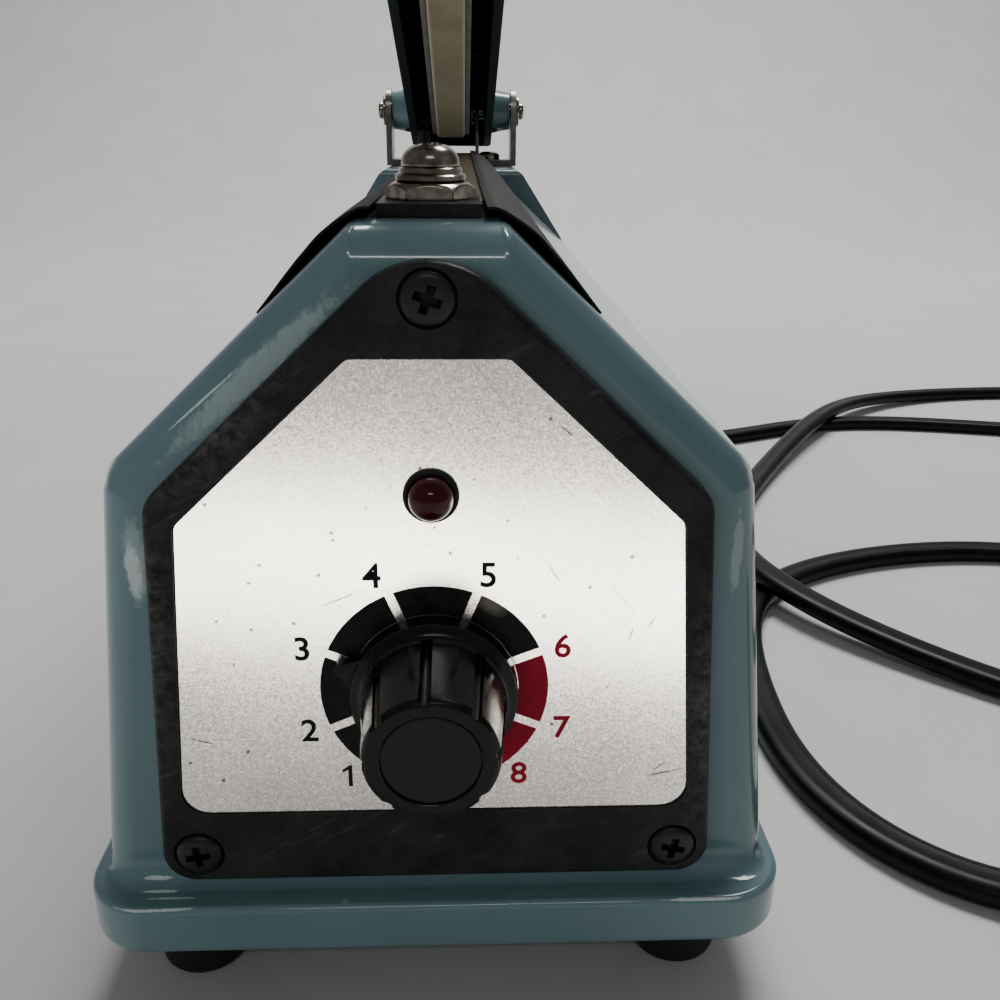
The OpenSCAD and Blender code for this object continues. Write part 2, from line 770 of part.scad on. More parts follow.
module face_plate() {
    color("#c9cccd")
    difference() {
        along_y(plate_y, recess_y) polygon(rounded(plate_outline, plate_r));
        rod_y(0, lamp_z, lamp_d + 2 * free, plate_y - cut, recess_y + cut);
        rod_y(0, dial_z, pot_bush_d + 2 * free, plate_y - cut, recess_y + cut);
    }
}

module bezel_screws() {
    color("#202123")
    for (s = bezel_screw_at) {
        translate([s[0], panel_y + screw_sunk, s[1]]) rotate([90, 0, 0]) screw_m3(bezel_screw_l);
    }
}

// Domed lens with a shoulder behind the panel and two leads to the board
module indicator_lamp() {
    lens = lamp_d / 2;
    rise = 1.2;
    dome = 1.9;
    color("#5a0a0e") {
        translate([0, plate_y, lamp_z]) rotate([90, 0, 0]) rotate_extrude()
            polygon(concat(
                [[0, plate_y - y_front], [lens, plate_y - y_front], [lens, rise]],
                [for (a = [15 : 15 : 75]) [lens * cos(a), rise + dome * sin(a)]],
                [[0, rise + dome]]
            ));
        rod_y(0, lamp_z, lamp_flange_d, y_front, y_front + 1.2);
    }
    color("#b9bcbe")
    for (x = [-1.27, 1.27]) rod_y(x, lamp_z, 0.6, y_front + 1.2, board_y);
}

module lamp_ring() {
    color("#141516")
    difference() {
        rod_y(0, lamp_z, lamp_d + 1.1, plate_y - 0.6, plate_y);
        rod_y(0, lamp_z, lamp_d + 2 * run, plate_y - cut, plate_y + cut);
    }
}

module potentiometer() {
    color("#7d8083")
    difference() {
        union() {
            rod_y(0, dial_z, pot_d, y_front, board_y);
            rod_y(0, dial_z, pot_bush_d, bush_front, y_front + thin);
        }
        rod_y(0, dial_z, pot_shaft_d + 2 * run, bush_front - cut, shaft_back + apart);
    }
}

module pot_nut() {
    color("#b9bcbe")
    translate([0, plate_y, dial_z]) rotate([90, 0, 0]) difference() {
        cylinder(r = (pot_bush_d + 3) / 2 / cos(30), h = 2, $fn = 6);
        translate([0, 0, -cut]) cylinder(d = pot_bush_d + 2 * run, h = 2 + 2 * cut);
    }
}

module timer_board() {
    low = dial_z - board_below;
    high = lamp_z + board_above;
    color("#2c6b3a")
    box([-board_w / 2, board_y, low], [board_w / 2, board_y + board_t, high]);
}

module timer_relay() {
    at = board_y + board_t;
    color("#2a4a86") box([-18, at, dial_z - 8], [-2, at + 14, dial_z + 12]);
}

module timer_capacitor() {
    at = board_y + board_t;
    color("#31343a")
    for (x = [6, 15]) rod_y(x, dial_z + 2, 8, at, at + 12);
}

// Places a piece of the transformer: its core is drawn along X and lies along Y
module on_plate() {
    translate([0, trafo_y, floor_z]) rotate([0, 0, 90]) children();
}

module transformer_core() {
    stack = core_stack / 2;
    color("#5d5f60")
    on_plate() difference() {
        box([-core_w / 2, -stack, 0], [core_w / 2, stack, core_h]);
        mirrored() box([yoke, -core_stack, yoke], [2 * yoke, core_stack, core_h - yoke]);
    }
}

// Winding on its bobbin round the core's middle leg
module transformer_winding() {
    overhang = 8;
    gap = 0.2;
    x = 2 * yoke - gap;
    y = core_stack / 2 + overhang;
    color("#c7a23a")
    on_plate() difference() {
        translate([0, 0, yoke + gap])
            linear_extrude(core_h - 2 * yoke - 2 * gap)
            polygon(rounded([[-x, -y], [x, -y], [x, y], [-x, y]], [4, 4, 4, 4]));
        box([-yoke - gap, -core_stack / 2 - gap, -cut], [yoke + gap, core_stack / 2 + gap, core_h]);
    }
}

module transformer_strap() {
    x = core_w / 2 + free;
    w = strap_w / 2;
    color("#9a9da0")
    on_plate() difference() {
        union() {
            mirrored() {
                box([x, -w, 0], [x + strap_t, w, core_h + strap_t]);
                box([x, -w, 0], [x + strap_t + strap_foot, w, strap_t]);
            }
            box([-x, -w, core_h], [x, w, core_h + strap_t]);
        }
        mirrored() rod_z(strap_screw_y, 0, m3 + 2 * free, -cut, strap_t + cut);
    }
}

// Screws from below the bottom plate, each with its nut on the strap's foot
module transformer_screws() {
    grip = bottom_t + strap_t;
    color("#b9bcbe")
    on_plate() mirrored() translate([strap_screw_y, 0, -bottom_t]) {
        rotate([180, 0, 0]) screw_m3(grip + 4);
        translate([0, 0, grip]) cylinder(r = 5.5 / 2 / cos(30), h = 2.4, $fn = 6);
    }
}

module micro_switch() {
    color("#1b1c1e")
    difference() {
        box([plunger_x - switch_w / 2, switch_y, switch_top - switch_h],
            [switch_side, switch_y + switch_l, switch_top]);
        box([plunger_x - 2.4, plunger_y - 1.9, switch_top - 6.8],
            [plunger_x + 2.4, plunger_y + 1.9, switch_top + cut]);
        for (s = switch_screw_at) {
            rod_x(s[0], s[1], switch_screw_d + 2 * free, plunger_x - switch_w, switch_side + cut);
        }
    }
}

// Angle that holds the switch on the rear wall
module switch_bracket() {
    back = y_rear - wall;
    color("#9a9da0")
    difference() {
        union() {
            box([switch_side, switch_y + 1, bracket_low],
                [switch_side + bracket_t, back, bracket_high]);
            box([switch_side, back - bracket_t, bracket_low],
                [bracket_screw_x + 6, back, bracket_high]);
        }
        for (s = switch_screw_at) {
            rod_x(s[0], s[1], switch_screw_d + 2 * free, switch_side - cut, switch_side + 4);
        }
        for (z = bracket_screw_z) {
            rod_y(bracket_screw_x, z, m3 + 2 * free, back - 4, back + cut);
        }
    }
}

module switch_screws() {
    color("#b9bcbe")
    for (s = switch_screw_at) {
        translate([plunger_x - switch_w / 2, s[0], s[1]]) rotate([0, -90, 0])
            screw(switch_screw_d, 4.2, 1.6, switch_w + bracket_t + 2);
    }
}

module bracket_screws() {
    color("#202123")
    for (z = bracket_screw_z) {
        translate([bracket_screw_x, y_rear, z]) rotate([-90, 0, 0])
            screw_m3(wall + bracket_t + 2);
    }
}

module insulating_strip() {
    w = ridge_w - 2 * ridge_r;
    color("#c9b48a")
    box([-w / 2, ribbon_front, ridge_z], [w / 2, y_block - 1, insulation_z]);
}

// Ribbon between the terminals, bent down to the rear one over the end of the ridge
module heating_element() {
    w = ribbon_w / 2;
    drop = block_z + 1.2;
    color("#8a8d90") {
        box([-w, ribbon_front, insulation_z], [w, y_block + apart + ribbon_t, ribbon_z]);
        box([-w, y_block + apart, drop], [w, y_block + apart + ribbon_t, ribbon_z]);
        box([-w, y_block + apart, drop], [w, rear_terminal_y - 3.9, drop + ribbon_t]);
    }
}

// Release cloth over the ribbon and down both sides of the roof, under the clamp sheets
module release_cloth() {
    top = ridge_w / 2 - 0.4;
    low = cloth_down;
    inner = [[top, cloth_z], roof_point(low, 0.1)];
    outer = [roof_point(low, 0.1 + cloth_t), [top + 0.1, cloth_top]];
    flip = function (p) [-p[0], p[1]];
    color("#b98f62")
    along_y(cloth_front, cloth_rear)
        polygon(concat(
            [flip(inner[1]), flip(inner[0])], inner, outer, [flip(outer[1]), flip(outer[0])]
        ));
}

module clamp_sheet() {
    color("#161718") along_y(sheet_front, sheet_rear) polygon(sheet_outline);
}

module clamp_sheet_right() {
    clamp_sheet();
}

module clamp_sheet_left() {
    mirror([1, 0, 0]) clamp_sheet();
}

module front_insulator() {
    w = insulator_w / 2;
    l = insulator_l / 2;
    color("#161718")
    difference() {
        box([-w, terminal_y - l, ridge_z], [w, terminal_y + l - apart, ridge_z + insulator_t]);
        rod_z(0, terminal_y, m3 + 2 * free, ridge_z - cut, ridge_z + insulator_t + cut);
    }
}

nut_z = ridge_z + insulator_t;
washer_z = nut_z + nut_h;
washer_t = 0.7;
terminal_top = washer_z + 2 * washer_t;

module front_terminal_nut() {
    color("#c4c7c9")
    translate([0, terminal_y, nut_z]) difference() {
        intersection() {
            cylinder(r = nut_af / 2 / cos(30), h = nut_h, $fn = 6);
            cylinder(r1 = nut_af / 2 / cos(30) + 1, r2 = nut_af / 2 + 0.1, h = nut_h + 0.6);
        }
        translate([0, 0, -cut]) cylinder(d = m3 + 2 * free, h = nut_h + 2 * cut);
    }
}

module front_terminal_washers() {
    color("#b9bcbe")
    for (k = [0, 1]) {
        d = washer_d - k * 0.9;
        translate([0, terminal_y, washer_z + k * washer_t]) difference() {
            cylinder(d = d, h = washer_t);
            translate([0, 0, -cut]) cylinder(d = m3 + 2 * free, h = washer_t + 2 * cut);
        }
    }
}

module front_terminal_screw() {
    color("#d0d3d5")
    translate([0, terminal_y, terminal_top])
        screw(m3, washer_d - 1.3, 2.4, terminal_top - ridge_z + wall + 4);
}

module rear_insulator() {
    color("#161718")
    difference() {
        box([-5, rear_terminal_y - 5.2, block_z], [5, rear_terminal_y + 5, block_z + 1.2]);
        rod_z(0, rear_terminal_y, m3 + 2 * free, block_z - cut, block_z + 1.2 + cut);
    }
}

module rear_terminal_washer() {
    color("#b9bcbe")
    translate([0, rear_terminal_y, block_z + 1.2]) difference() {
        cylinder(d = 7, h = 0.6);
        translate([0, 0, -cut]) cylinder(d = m3 + 2 * free, h = 0.6 + 2 * cut);
    }
}

module rear_terminal_screw() {
    color("#d0d3d5")
    translate([0, rear_terminal_y, block_z + 1.8]) screw(m3, m3_head, 1.6, 1.8 + wall + 3);
}

module hinge_stirrup() {
    front = hinge_y - stirrup_d / 2;
    rear = hinge_y + stirrup_d / 2;
    color("#b4b7ba")
    difference() {
        union() {
            box([-leg_out, front, block_z], [leg_out, rear, stirrup_top]);
            mirrored() along_x(leg_in, leg_out) {
                translate([front, block_z]) square([stirrup_d, hinge_z - block_z]);
                translate([hinge_y, hinge_z]) circle(d = stirrup_d);
            }
        }
        rod_x(hinge_y, hinge_z, shaft_d + 2 * run, -leg_out - cut, leg_out + cut);
        for (x = stirrup_hole_at) rod_z(x, hinge_y, m4 + 2 * free, 0, stirrup_top + cut);
    }
}

module stirrup_screws() {
    color("#b9bcbe")
    for (x = stirrup_hole_at) {
        translate([x, hinge_y, stirrup_top]) screw(m4, m4_head, m4_head_h, stirrup_t + wall + 6);
    }
}

clip_t = 0.7;
clip_x = leg_out + 0.2;

module hinge_shaft() {
    end = leg_out + shaft_end;
    groove = shaft_d * 0.8;
    bevel = 0.4;
    color("#c4c7c9")
    translate([0, hinge_y, hinge_z]) rotate([0, 90, 0]) rotate_extrude()
        polygon([
            [0, -end], [shaft_d / 2 - bevel, -end], [shaft_d / 2, -end + bevel],
            [shaft_d / 2, -clip_x - clip_t - run], [groove / 2, -clip_x - clip_t - run],
            [groove / 2, -clip_x + run], [shaft_d / 2, -clip_x + run],
            [shaft_d / 2, clip_x - run], [groove / 2, clip_x - run],
            [groove / 2, clip_x + clip_t + run], [shaft_d / 2, clip_x + clip_t + run],
            [shaft_d / 2, end - bevel], [shaft_d / 2 - bevel, end], [0, end]
        ]);
}

// Open rings that snap into the shaft's grooves
module shaft_clips() {
    color("#4a4c4f")
    mirrored() difference() {
        rod_x(hinge_y, hinge_z, shaft_d * 1.8, clip_x, clip_x + clip_t);
        rod_x(hinge_y, hinge_z, shaft_d * 0.8 + 2 * run, clip_x - cut, clip_x + clip_t + cut);
        box([clip_x - cut, hinge_y - shaft_d * 0.32, hinge_z],
            [clip_x + clip_t + cut, hinge_y + shaft_d * 0.32, hinge_z + shaft_d]);
    }
}

module return_spring() {
    color("#a5a8ab") tube(spring_rings);
}

// Places a piece of the arm, drawn closed along -Y from the hinge axis, at its open angle
module opened() {
    translate([0, hinge_y, hinge_z]) rotate([-open_angle, 0, 0]) children();
}

// Side of the arm: a straight top that falls to the handle, and a handle that lifts at its tip
arm_side = [
    [arm_tail, arm_low], [arm_tail, arm_top], [-arm_l + handle_l * 1.4, arm_top],
    [-arm_l, arm_top - 3.5], [-arm_l, arm_low + 5], [-arm_l + handle_l, arm_low]
];
arm_side_r = [3, 4, 40, 4, 4, 14];
arm_plan = [
    [-arm_w / 2, -arm_l], [arm_w / 2, -arm_l], [arm_w / 2, arm_tail], [-arm_w / 2, arm_tail]
];
arm_plan_r = [11, 11, 5, 5];
arm_section = [
    [-arm_w / 2, arm_low - cut], [arm_w / 2, arm_low - cut],
    [arm_w / 2, arm_top], [-arm_w / 2, arm_top]
];
boss_d = 11;
boss_out = leg_in - apart;
screw_ribs = [for (k = [0 : min(2, len(rib_at) - 1)]) rib_at[k]];

module press_arm() {
    color("#1e6a70")
    opened() difference() {
        union() {
            arm_shell();
            arm_ribs();
            mirrored() translate([arm_w / 2 - 1, 0, 0]) rotate([0, 90, 0])
                cylinder(d1 = boss_d + 2.5, d2 = boss_d, h = boss_out - arm_w / 2 + 1);
        }
        rod_x(0, 0, shaft_d + 2 * run, arm_in - cut, boss_out + cut);
        rod_x(0, 0, shaft_d + 2 * run, -boss_out - cut, -arm_in + cut);
        for (y = screw_ribs) {
            rod_z(0, y, m3 + 2 * free, holder_top - cut, arm_top + cut);
            rod_z(0, y, m3_head + 0.8, arm_top - m3_head_h, arm_top + cut);
        }
    }
}

module arm_shell() {
    difference() {
        intersection() {
            along_x(-arm_w / 2, arm_w / 2) polygon(rounded(arm_side, arm_side_r));
            translate([0, 0, arm_low - cut]) linear_extrude(arm_top - arm_low + 2 * cut)
                polygon(rounded(arm_plan, arm_plan_r));
            along_y(-arm_l, arm_tail) polygon(rounded(arm_section, [0, 0, 4, 4]));
        }
        box([-arm_in, -hollow_front, arm_low - cut], [arm_in, arm_tail - arm_wall, roof_in]);
    }
}

// Cross ribs, screw pillars for the strip holder, and the pad that presses the plunger
module arm_ribs() {
    for (y = rib_at) {
        box([-arm_in - cut, y - rib_t / 2, holder_top], [arm_in + cut, y + rib_t / 2, roof_in + cut]);
    }
    for (y = screw_ribs) rod_z(0, y, 8, holder_top, roof_in + cut);
    rod_x(-plunger_in, pad_z, 2 * pad_r, -arm_in - cut, -pad_in);
    box([-arm_in - cut, -plunger_in - rib_t / 2, pad_z], [-pad_in, -plunger_in + rib_t / 2, roof_in + cut]);
}

module strip_holder() {
    w = holder_w / 2;
    inner = w - holder_wall;
    color("#a9adb0")
    opened() difference() {
        along_y(-strip_front, -strip_back) polygon([
            [-w, holder_low], [-inner, holder_low], [-inner, holder_top - holder_roof],
            [inner, holder_top - holder_roof], [inner, holder_low], [w, holder_low],
            [w, holder_top], [-w, holder_top]
        ]);
        for (y = screw_ribs) {
            rod_z(0, y, m3 + 2 * free, holder_top - holder_roof - cut, holder_top + cut);
        }
    }
}

module silicone_strip() {
    w = strip_w / 2;
    top = holder_top - holder_roof - run;
    color("#b9a27c")
    opened() along_y(-strip_front + 0.5, -strip_back - 0.5)
        polygon(rounded([[-w, strip_low], [w, strip_low], [w, top], [-w, top]], [1, 1, 0, 0]));
}

module holder_screws() {
    head_z = arm_top - m3_head_h;
    color("#b9bcbe")
    opened() for (y = screw_ribs) {
        translate([0, y, head_z]) screw_m3(head_z - holder_top + holder_roof - free);
    }
}

// Places a piece of the knob: 0 is the face plate and +Z comes out of it
module on_dial() {
    translate([0, plate_y, dial_z]) rotate([90, 0, 0]) children();
}

knob_gap = 0.4;
knob_hollow = plate_y - bush_front + 1;
cap_r = knob_cap_d / 2;
grip_r = cap_r + 0.9;
knob_inset_d = knob_cap_d - 3.5;

module timer_knob() {
    skirt = 2.6;
    flute_r = 0.8;
    color("#101112")
    on_dial() difference() {
        union() {
            rotate_extrude() polygon([
                [0, knob_gap], [knob_d / 2, knob_gap], [knob_d / 2, skirt - 0.5],
                [knob_d / 2 - 0.6, skirt], [grip_r, skirt + 0.4], [cap_r, knob_h - 1],
                [cap_r - 0.3, knob_h - 0.3], [cap_r - 1, knob_h], [0, knob_h]
            ]);
            rotate([0, 0, pointer_at]) translate([0, 0, knob_gap]) linear_extrude(skirt - 0.8)
                polygon([[-3.2, knob_d / 2 - 1.2], [3.2, knob_d / 2 - 1.2], [0, knob_d / 2 + 2]]);
        }
        for (k = [0 : flutes - 1]) {
            rotate([0, 0, pointer_at + 360 / flutes * (k + 0.5)])
                translate([0, grip_r + flute_r * 0.35, skirt + 0.4])
                rotate([atan2(0.9, knob_h - skirt - 1.4), 0, 0])
                cylinder(r = flute_r, h = knob_h - skirt - 1.6, $fn = 16);
        }
        translate([0, 0, -cut]) cylinder(d = knob_d - 4, h = knob_hollow + cut);
        cylinder(d = pot_shaft_d + 2 * run, h = knob_h - 2.4);
        translate([0, 0, knob_h - 0.5]) cylinder(d = knob_inset_d, h = 1);
    }
}

module knob_cap() {
    color("#3a3c3e")
    on_dial() translate([0, 0, knob_h - 0.5]) cylinder(d = knob_inset_d - 2 * free, h = 0.4);
}

module pot_shaft() {
    color("#b9bcbe") rod_y(0, dial_z, pot_shaft_d, plate_y - knob_h + 2.7, shaft_back);
}

module switch_plunger() {
    dome = 0.8;
    color("#d8d9da")
    translate([plunger_x, plunger_y, 0]) rotate_extrude() polygon(concat(
        [
            [0, button_top], [plunger_d / 2, button_top],
            [plunger_d / 2, guide_low - apart - collar_h],
            [plunger_d / 2 + 1.2, guide_low - apart - collar_h],
            [plunger_d / 2 + 1.2, guide_low - apart], [plunger_d / 2, guide_low - apart]
        ],
        [for (a = [0 : 15 : 75]) [
            plunger_d / 2 - dome + dome * cos(a), plunger_top - dome + dome * sin(a)
        ]],
        [[0, plunger_top]]
    ));
}

module switch_button() {
    color("#a83226")
    box([plunger_x - 2, plunger_y - 1.5, switch_top - 2.8],
        [plunger_x + 2, plunger_y + 1.5, button_top]);
}

// Strain relief: a neck in the rear wall, a collar and a boot that tapers to the lead
module cord_gland() {
    tip = cord_w + 1.6;
    ribs = 4;
    rib = boot_l / (2 * ribs + 1);
    color("#17181a")
    translate([gland_x, 0, gland_z]) rotate([-90, 0, 0]) rotate_extrude() polygon(concat(
        [
            [0, y_rear - wall - 2], [gland_d / 2 + 1, y_rear - wall - 2],
            [gland_d / 2 + 1, y_rear - wall - run], [gland_d / 2 - free, y_rear - wall - run],
            [gland_d / 2 - free, y_rear + run], [gland_d / 2 + 2, y_rear + run],
            [gland_d / 2 + 2, collar_y]
        ],
        [for (k = [0 : ribs - 1], s = [0, 1, 2, 3]) let (
            at = 2 * k + (s < 2 ? 0 : 1),
            full = gland_d / 2 + 1 - (gland_d / 2 + 1 - tip / 2) * (at + (s % 2)) / (2 * ribs + 1)
        ) [full - (s < 2 ? 0 : 0.6), collar_y + rib * (at + (s % 2))]],
        [[tip / 2, boot_y - rib], [tip / 2, boot_y], [0, boot_y]]
    ));
}

module power_cord() {
    color("#17181a") tube(cord_rings);
}

// Flat plug with two round pins, lying on the table at the end of the lead
plug_at = route[len(route) - 1];
plug_l = 34;
plug_w = 26;
plug_t = 13.4;
pin_d = 4;
pin_l = 19;
pin_step = 18.6;

module mains_plug() {
    color("#17181a")
    translate(plug_at) {
        hull() {
            rotate([0, 90, 0]) cylinder(d = cord_w + 2.4, h = 1, $fn = 32);
            translate([14, 0, 0]) plug_slice(plug_w * 0.72, plug_t * 0.86);
        }
        hull() {
            translate([14, 0, 0]) plug_slice(plug_w * 0.72, plug_t * 0.86);
            translate([24, 0, 0]) plug_slice(plug_w, plug_t);
            translate([plug_l - 1, 0, 0]) plug_slice(plug_w, plug_t);
        }
    }
}

module plug_slice(w, t) {
    rotate([90, 0, 90]) linear_extrude(1)
        polygon(rounded(
            [[-w / 2, 0], [-w / 4, -t / 2], [w / 4, -t / 2], [w / 2, 0], [w / 4, t / 2], [-w / 4, t / 2]],
            [3, 2, 2, 3, 2, 2]
        ));
}

module plug_pins() {
    color("#c8b26a")
    translate(plug_at) for (y = [-pin_step / 2, pin_step / 2]) {
        translate([plug_l, y, 0]) rotate([0, 90, 0]) rotate_extrude() polygon(concat(
            [[0, 0], [pin_d / 2, 0], [pin_d / 2, pin_l - 1.2]],
            [for (a = [30, 60, 90]) [pin_d / 2 - 1.2 + 1.2 * cos(a), pin_l - 1.2 + 1.2 * sin(a)]],
            [[0, pin_l]]
        ));
    }
}

body_casting();
bottom_plate();
rubber_feet();
foot_screws();
front_bezel();
face_plate();
bezel_screws();
indicator_lamp();
lamp_ring();
potentiometer();
pot_nut();
timer_board();
timer_relay();
timer_capacitor();
transformer_core();
transformer_winding();
transformer_strap();
transformer_screws();
micro_switch();
switch_bracket();
switch_screws();
bracket_screws();
insulating_strip();
heating_element();
release_cloth();
clamp_sheet_left();
clamp_sheet_right();
front_insulator();
front_terminal_nut();
front_terminal_washers();
front_terminal_screw();
rear_insulator();
rear_terminal_washer();
rear_terminal_screw();
hinge_stirrup();
stirrup_screws();
hinge_shaft();
shaft_clips();
return_spring();
press_arm();
strip_holder();
silicone_strip();
holder_screws();
timer_knob();
knob_cap();
pot_shaft();
switch_plunger();
switch_button();
cord_gland();
power_cord();
mains_plug();
plug_pins();
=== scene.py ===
# %% [markdown]
# # A hand impulse sealer for plastic bags
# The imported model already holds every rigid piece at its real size. This lesson dresses it: it sets up
# the photograph's view, lays the mains lead, models the pieces whose surface matters most, and gives every
# piece a finish made of shader nodes. All lengths are metres, +Z is up and +Y runs to the rear.

import math
from functools import partial

import bmesh
import bpy
from mathutils import Matrix, Vector


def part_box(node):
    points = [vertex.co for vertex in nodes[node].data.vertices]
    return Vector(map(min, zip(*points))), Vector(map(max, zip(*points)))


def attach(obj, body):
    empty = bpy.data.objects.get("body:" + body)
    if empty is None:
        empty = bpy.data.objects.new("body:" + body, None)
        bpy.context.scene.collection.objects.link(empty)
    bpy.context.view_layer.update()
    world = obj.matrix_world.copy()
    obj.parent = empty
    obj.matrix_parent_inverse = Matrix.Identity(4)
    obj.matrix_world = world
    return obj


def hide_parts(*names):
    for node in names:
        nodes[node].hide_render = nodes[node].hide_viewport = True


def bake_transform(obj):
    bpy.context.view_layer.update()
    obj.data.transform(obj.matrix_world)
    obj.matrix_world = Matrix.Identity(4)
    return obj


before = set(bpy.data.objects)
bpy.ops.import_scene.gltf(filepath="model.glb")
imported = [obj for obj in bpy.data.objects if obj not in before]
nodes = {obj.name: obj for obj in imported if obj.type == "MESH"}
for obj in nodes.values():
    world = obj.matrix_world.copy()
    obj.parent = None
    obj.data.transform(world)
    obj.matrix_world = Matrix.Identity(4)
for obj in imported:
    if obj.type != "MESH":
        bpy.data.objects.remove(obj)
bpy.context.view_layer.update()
MM = 0.001


def put(name, data):
    """Puts new data into the scene as an object."""
    made = bpy.data.objects.new(name, data)
    bpy.context.collection.objects.link(made)
    return made


# %% [markdown]
# ## The camera
# The dial ring is a circle, and the ellipse that it makes in the picture tells how steeply the camera looks
# down. The flange's width then gives the distance: the camera was close, so the view is wide. A camera can be
# aimed with a Track To constraint, but here its three angles are known, so its matrix is set at once.

# %% Camera
camera_data = bpy.data.cameras.new("photo_camera")
camera_data.lens = 35.28
camera_data.sensor_width = 36
camera_data.clip_start = 0.01
camera = put("photo_camera", camera_data)
look_down, look_right, roll = math.radians(21.03), math.radians(2.25), math.radians(-0.453)
camera.matrix_world = (
    Matrix.Translation(Vector((3.31, -225.9, 100.46)) * MM)
    @ Matrix.Rotation(-look_right, 4, "Z")
    @ Matrix.Rotation(math.pi / 2 - look_down, 4, "X")
    @ Matrix.Rotation(-roll, 4, "Z")
)
bpy.context.scene.camera = camera
print("camera at", [round(v, 3) for v in camera.location], "m")

# %% [markdown]
# ## The mains lead
# A flat twin lead comes out of the rear wall, falls to the table and lies there in loose loops on the right.
# A curve with a round bevel would give a round cable, so the lead is a tube instead: one ring of points is
# carried along a smooth line and kept level, as a flat lead lies. The ring is an oval with a shallow groove
# along the middle of both flat sides. Where the lead crosses itself, it rises in a long low hump.

# %% Lead: its line
CORD_W, CORD_T = 6.4 * MM, 4.0 * MM
LOW = 2.05  # height in mm of the middle of a lead that lies on the table
OVER, RISE = LOW + 4.55, LOW + 2  # on top of a crossing, and on the way up
lead_route = [  # x, y and, where the lead is lifted, z, in mm
    (18, 157, 26), (19, 177, 23), (27, 202, 12), (54, 215, 5), (79, 198), (82, 168), (61, 138), (50, 114),
    (58, 92), (79, 83), (102, 92), (130, 106), (165, 104), (199, 94), (230, 89), (252, 99), (259, 120),
    (249, 140), (225, 147), (185, 143), (152, 128, RISE), (128, 101, OVER), (106, 70, RISE), (84, 35),
    (69, 1, RISE), (69, -27, OVER), (82, -48, RISE), (106, -71), (131, -90), (160, -85), (179, -56),
    (168, -22), (140, -6), (107, -8), (77, -20), (62, -41), (58, -67), (56, -93), (66, -117), (89, -127),
    (117, -127, 6.9),
]


def smooth_line(points, steps, leave, enter):
    """Points of a smooth curve through the given ones, which leaves and enters in the given directions."""
    p = [Vector(q) * MM for q in points]
    p.insert(0, p[0] - Vector(leave) * (p[1] - p[0]).length)
    p.append(p[-1] + Vector(enter) * (p[-1] - p[-2]).length)
    line = []
    for a, b, c, d in zip(p, p[1:], p[2:], p[3:]):
        for k in range(steps):
            t = k / steps
            line.append(0.5 * (2 * b + (c - a) * t + (2 * a - 5 * b + 4 * c - d) * t**2
                               + (3 * b - a - 3 * c + d) * t**3))
    return line + [p[-2]]


lead_line = smooth_line([(*point, LOW)[:3] for point in lead_route], 10, leave=(0, 1, 0), enter=(1, 0, 0))
for _ in range(60):  # a stiff sheath spreads its tightest bends a little
    lead_line[1:-1] = [b.lerp((a + c) / 2, 0.5) for a, b, c in zip(lead_line, lead_line[1:], lead_line[2:])]
for point in lead_line:
    point.z = max(point.z, LOW * MM)  # the table holds the lead up

# %% Lead: its tube
SIDES, SQUARENESS = 32, 0.75
GROOVE_DEEP, GROOVE_WIDE = 0.35 * MM, 0.55 * MM


def lead_ring(here, way):
    """One level ring of the flat lead, with a groove along each flat side."""
    across = way.cross(Vector((0, 0, 1))).normalized()
    up = across.cross(way)
    ring = []
    for k in range(SIDES):
        a = 2 * math.pi * k / SIDES
        c, s = math.cos(a), math.sin(a)
        x = math.copysign(abs(c) ** SQUARENESS, c) * CORD_W / 2
        groove = GROOVE_DEEP * math.exp(-(x / GROOVE_WIDE) ** 2)
        z = math.copysign(abs(s) ** SQUARENESS, s) * (CORD_T / 2 - groove)
        ring.append(here + across * x + up * z)
    return ring


def tube(name, rings):
    """A closed smooth tube through rings of points, with quads between them and a face at each end."""
    n = len(rings[0])
    mesh = bpy.data.meshes.new(name)
    faces = [
        (i * n + k, i * n + (k + 1) % n, (i + 1) * n + (k + 1) % n, (i + 1) * n + k)
        for i in range(len(rings) - 1) for k in range(n)
    ]
    faces += [tuple(reversed(range(n))), tuple(range((len(rings) - 1) * n, len(rings) * n))]
    mesh.from_pydata([q for r in rings for q in r], [], faces)
    mesh.update()
    for polygon in mesh.polygons:
        polygon.use_smooth = len(polygon.vertices) == 4
    return put(name, mesh)


def headings(line, first, last):
    """The direction of a line at each of its points."""
    inner = [(b - a).normalized() for a, b in zip(line, line[2:])]
    return [Vector(first)] + inner + [Vector(last)]


lead = tube("mains_lead", [
    lead_ring(here, way) for here, way in zip(lead_line, headings(lead_line, (0, 1, 0), (1, 0, 0)))
])
print("lead tube:", len(lead.data.polygons), "faces")

# %% [markdown]
# ## Table and light
# The sealer stands on a pale seamless sheet that curves up behind it. A broad lamp overhead gives soft
# light, a window to the left of the camera fills the front, and a narrow lamp above the camera draws the
# thin bright line along the ridge's front edge. A white card lies in front, and the metal plate mirrors it.
# A studio would flag the window off the table and the card off the gloss paint. Light linking does both.

# %% Table and light
WIDE, BEND_Y, BEND_R = 3.0, 0.55, 0.45
sweep_line = [(-WIDE, 0.0), (BEND_Y, 0.0)]
sweep_line += [(BEND_Y + BEND_R * math.sin(a), BEND_R - BEND_R * math.cos(a))
               for a in map(math.radians, range(6, 91, 6))]
sweep_line += [(BEND_Y + BEND_R, WIDE)]
mesh = bpy.data.meshes.new("paper_sweep")
mesh.from_pydata(
    [(x, y, z) for y, z in sweep_line for x in (-WIDE, WIDE)], [],
    [(2 * i, 2 * i + 1, 2 * i + 3, 2 * i + 2) for i in range(len(sweep_line) - 1)],
)
mesh.shade_smooth()
sweep = put("paper_sweep", mesh)


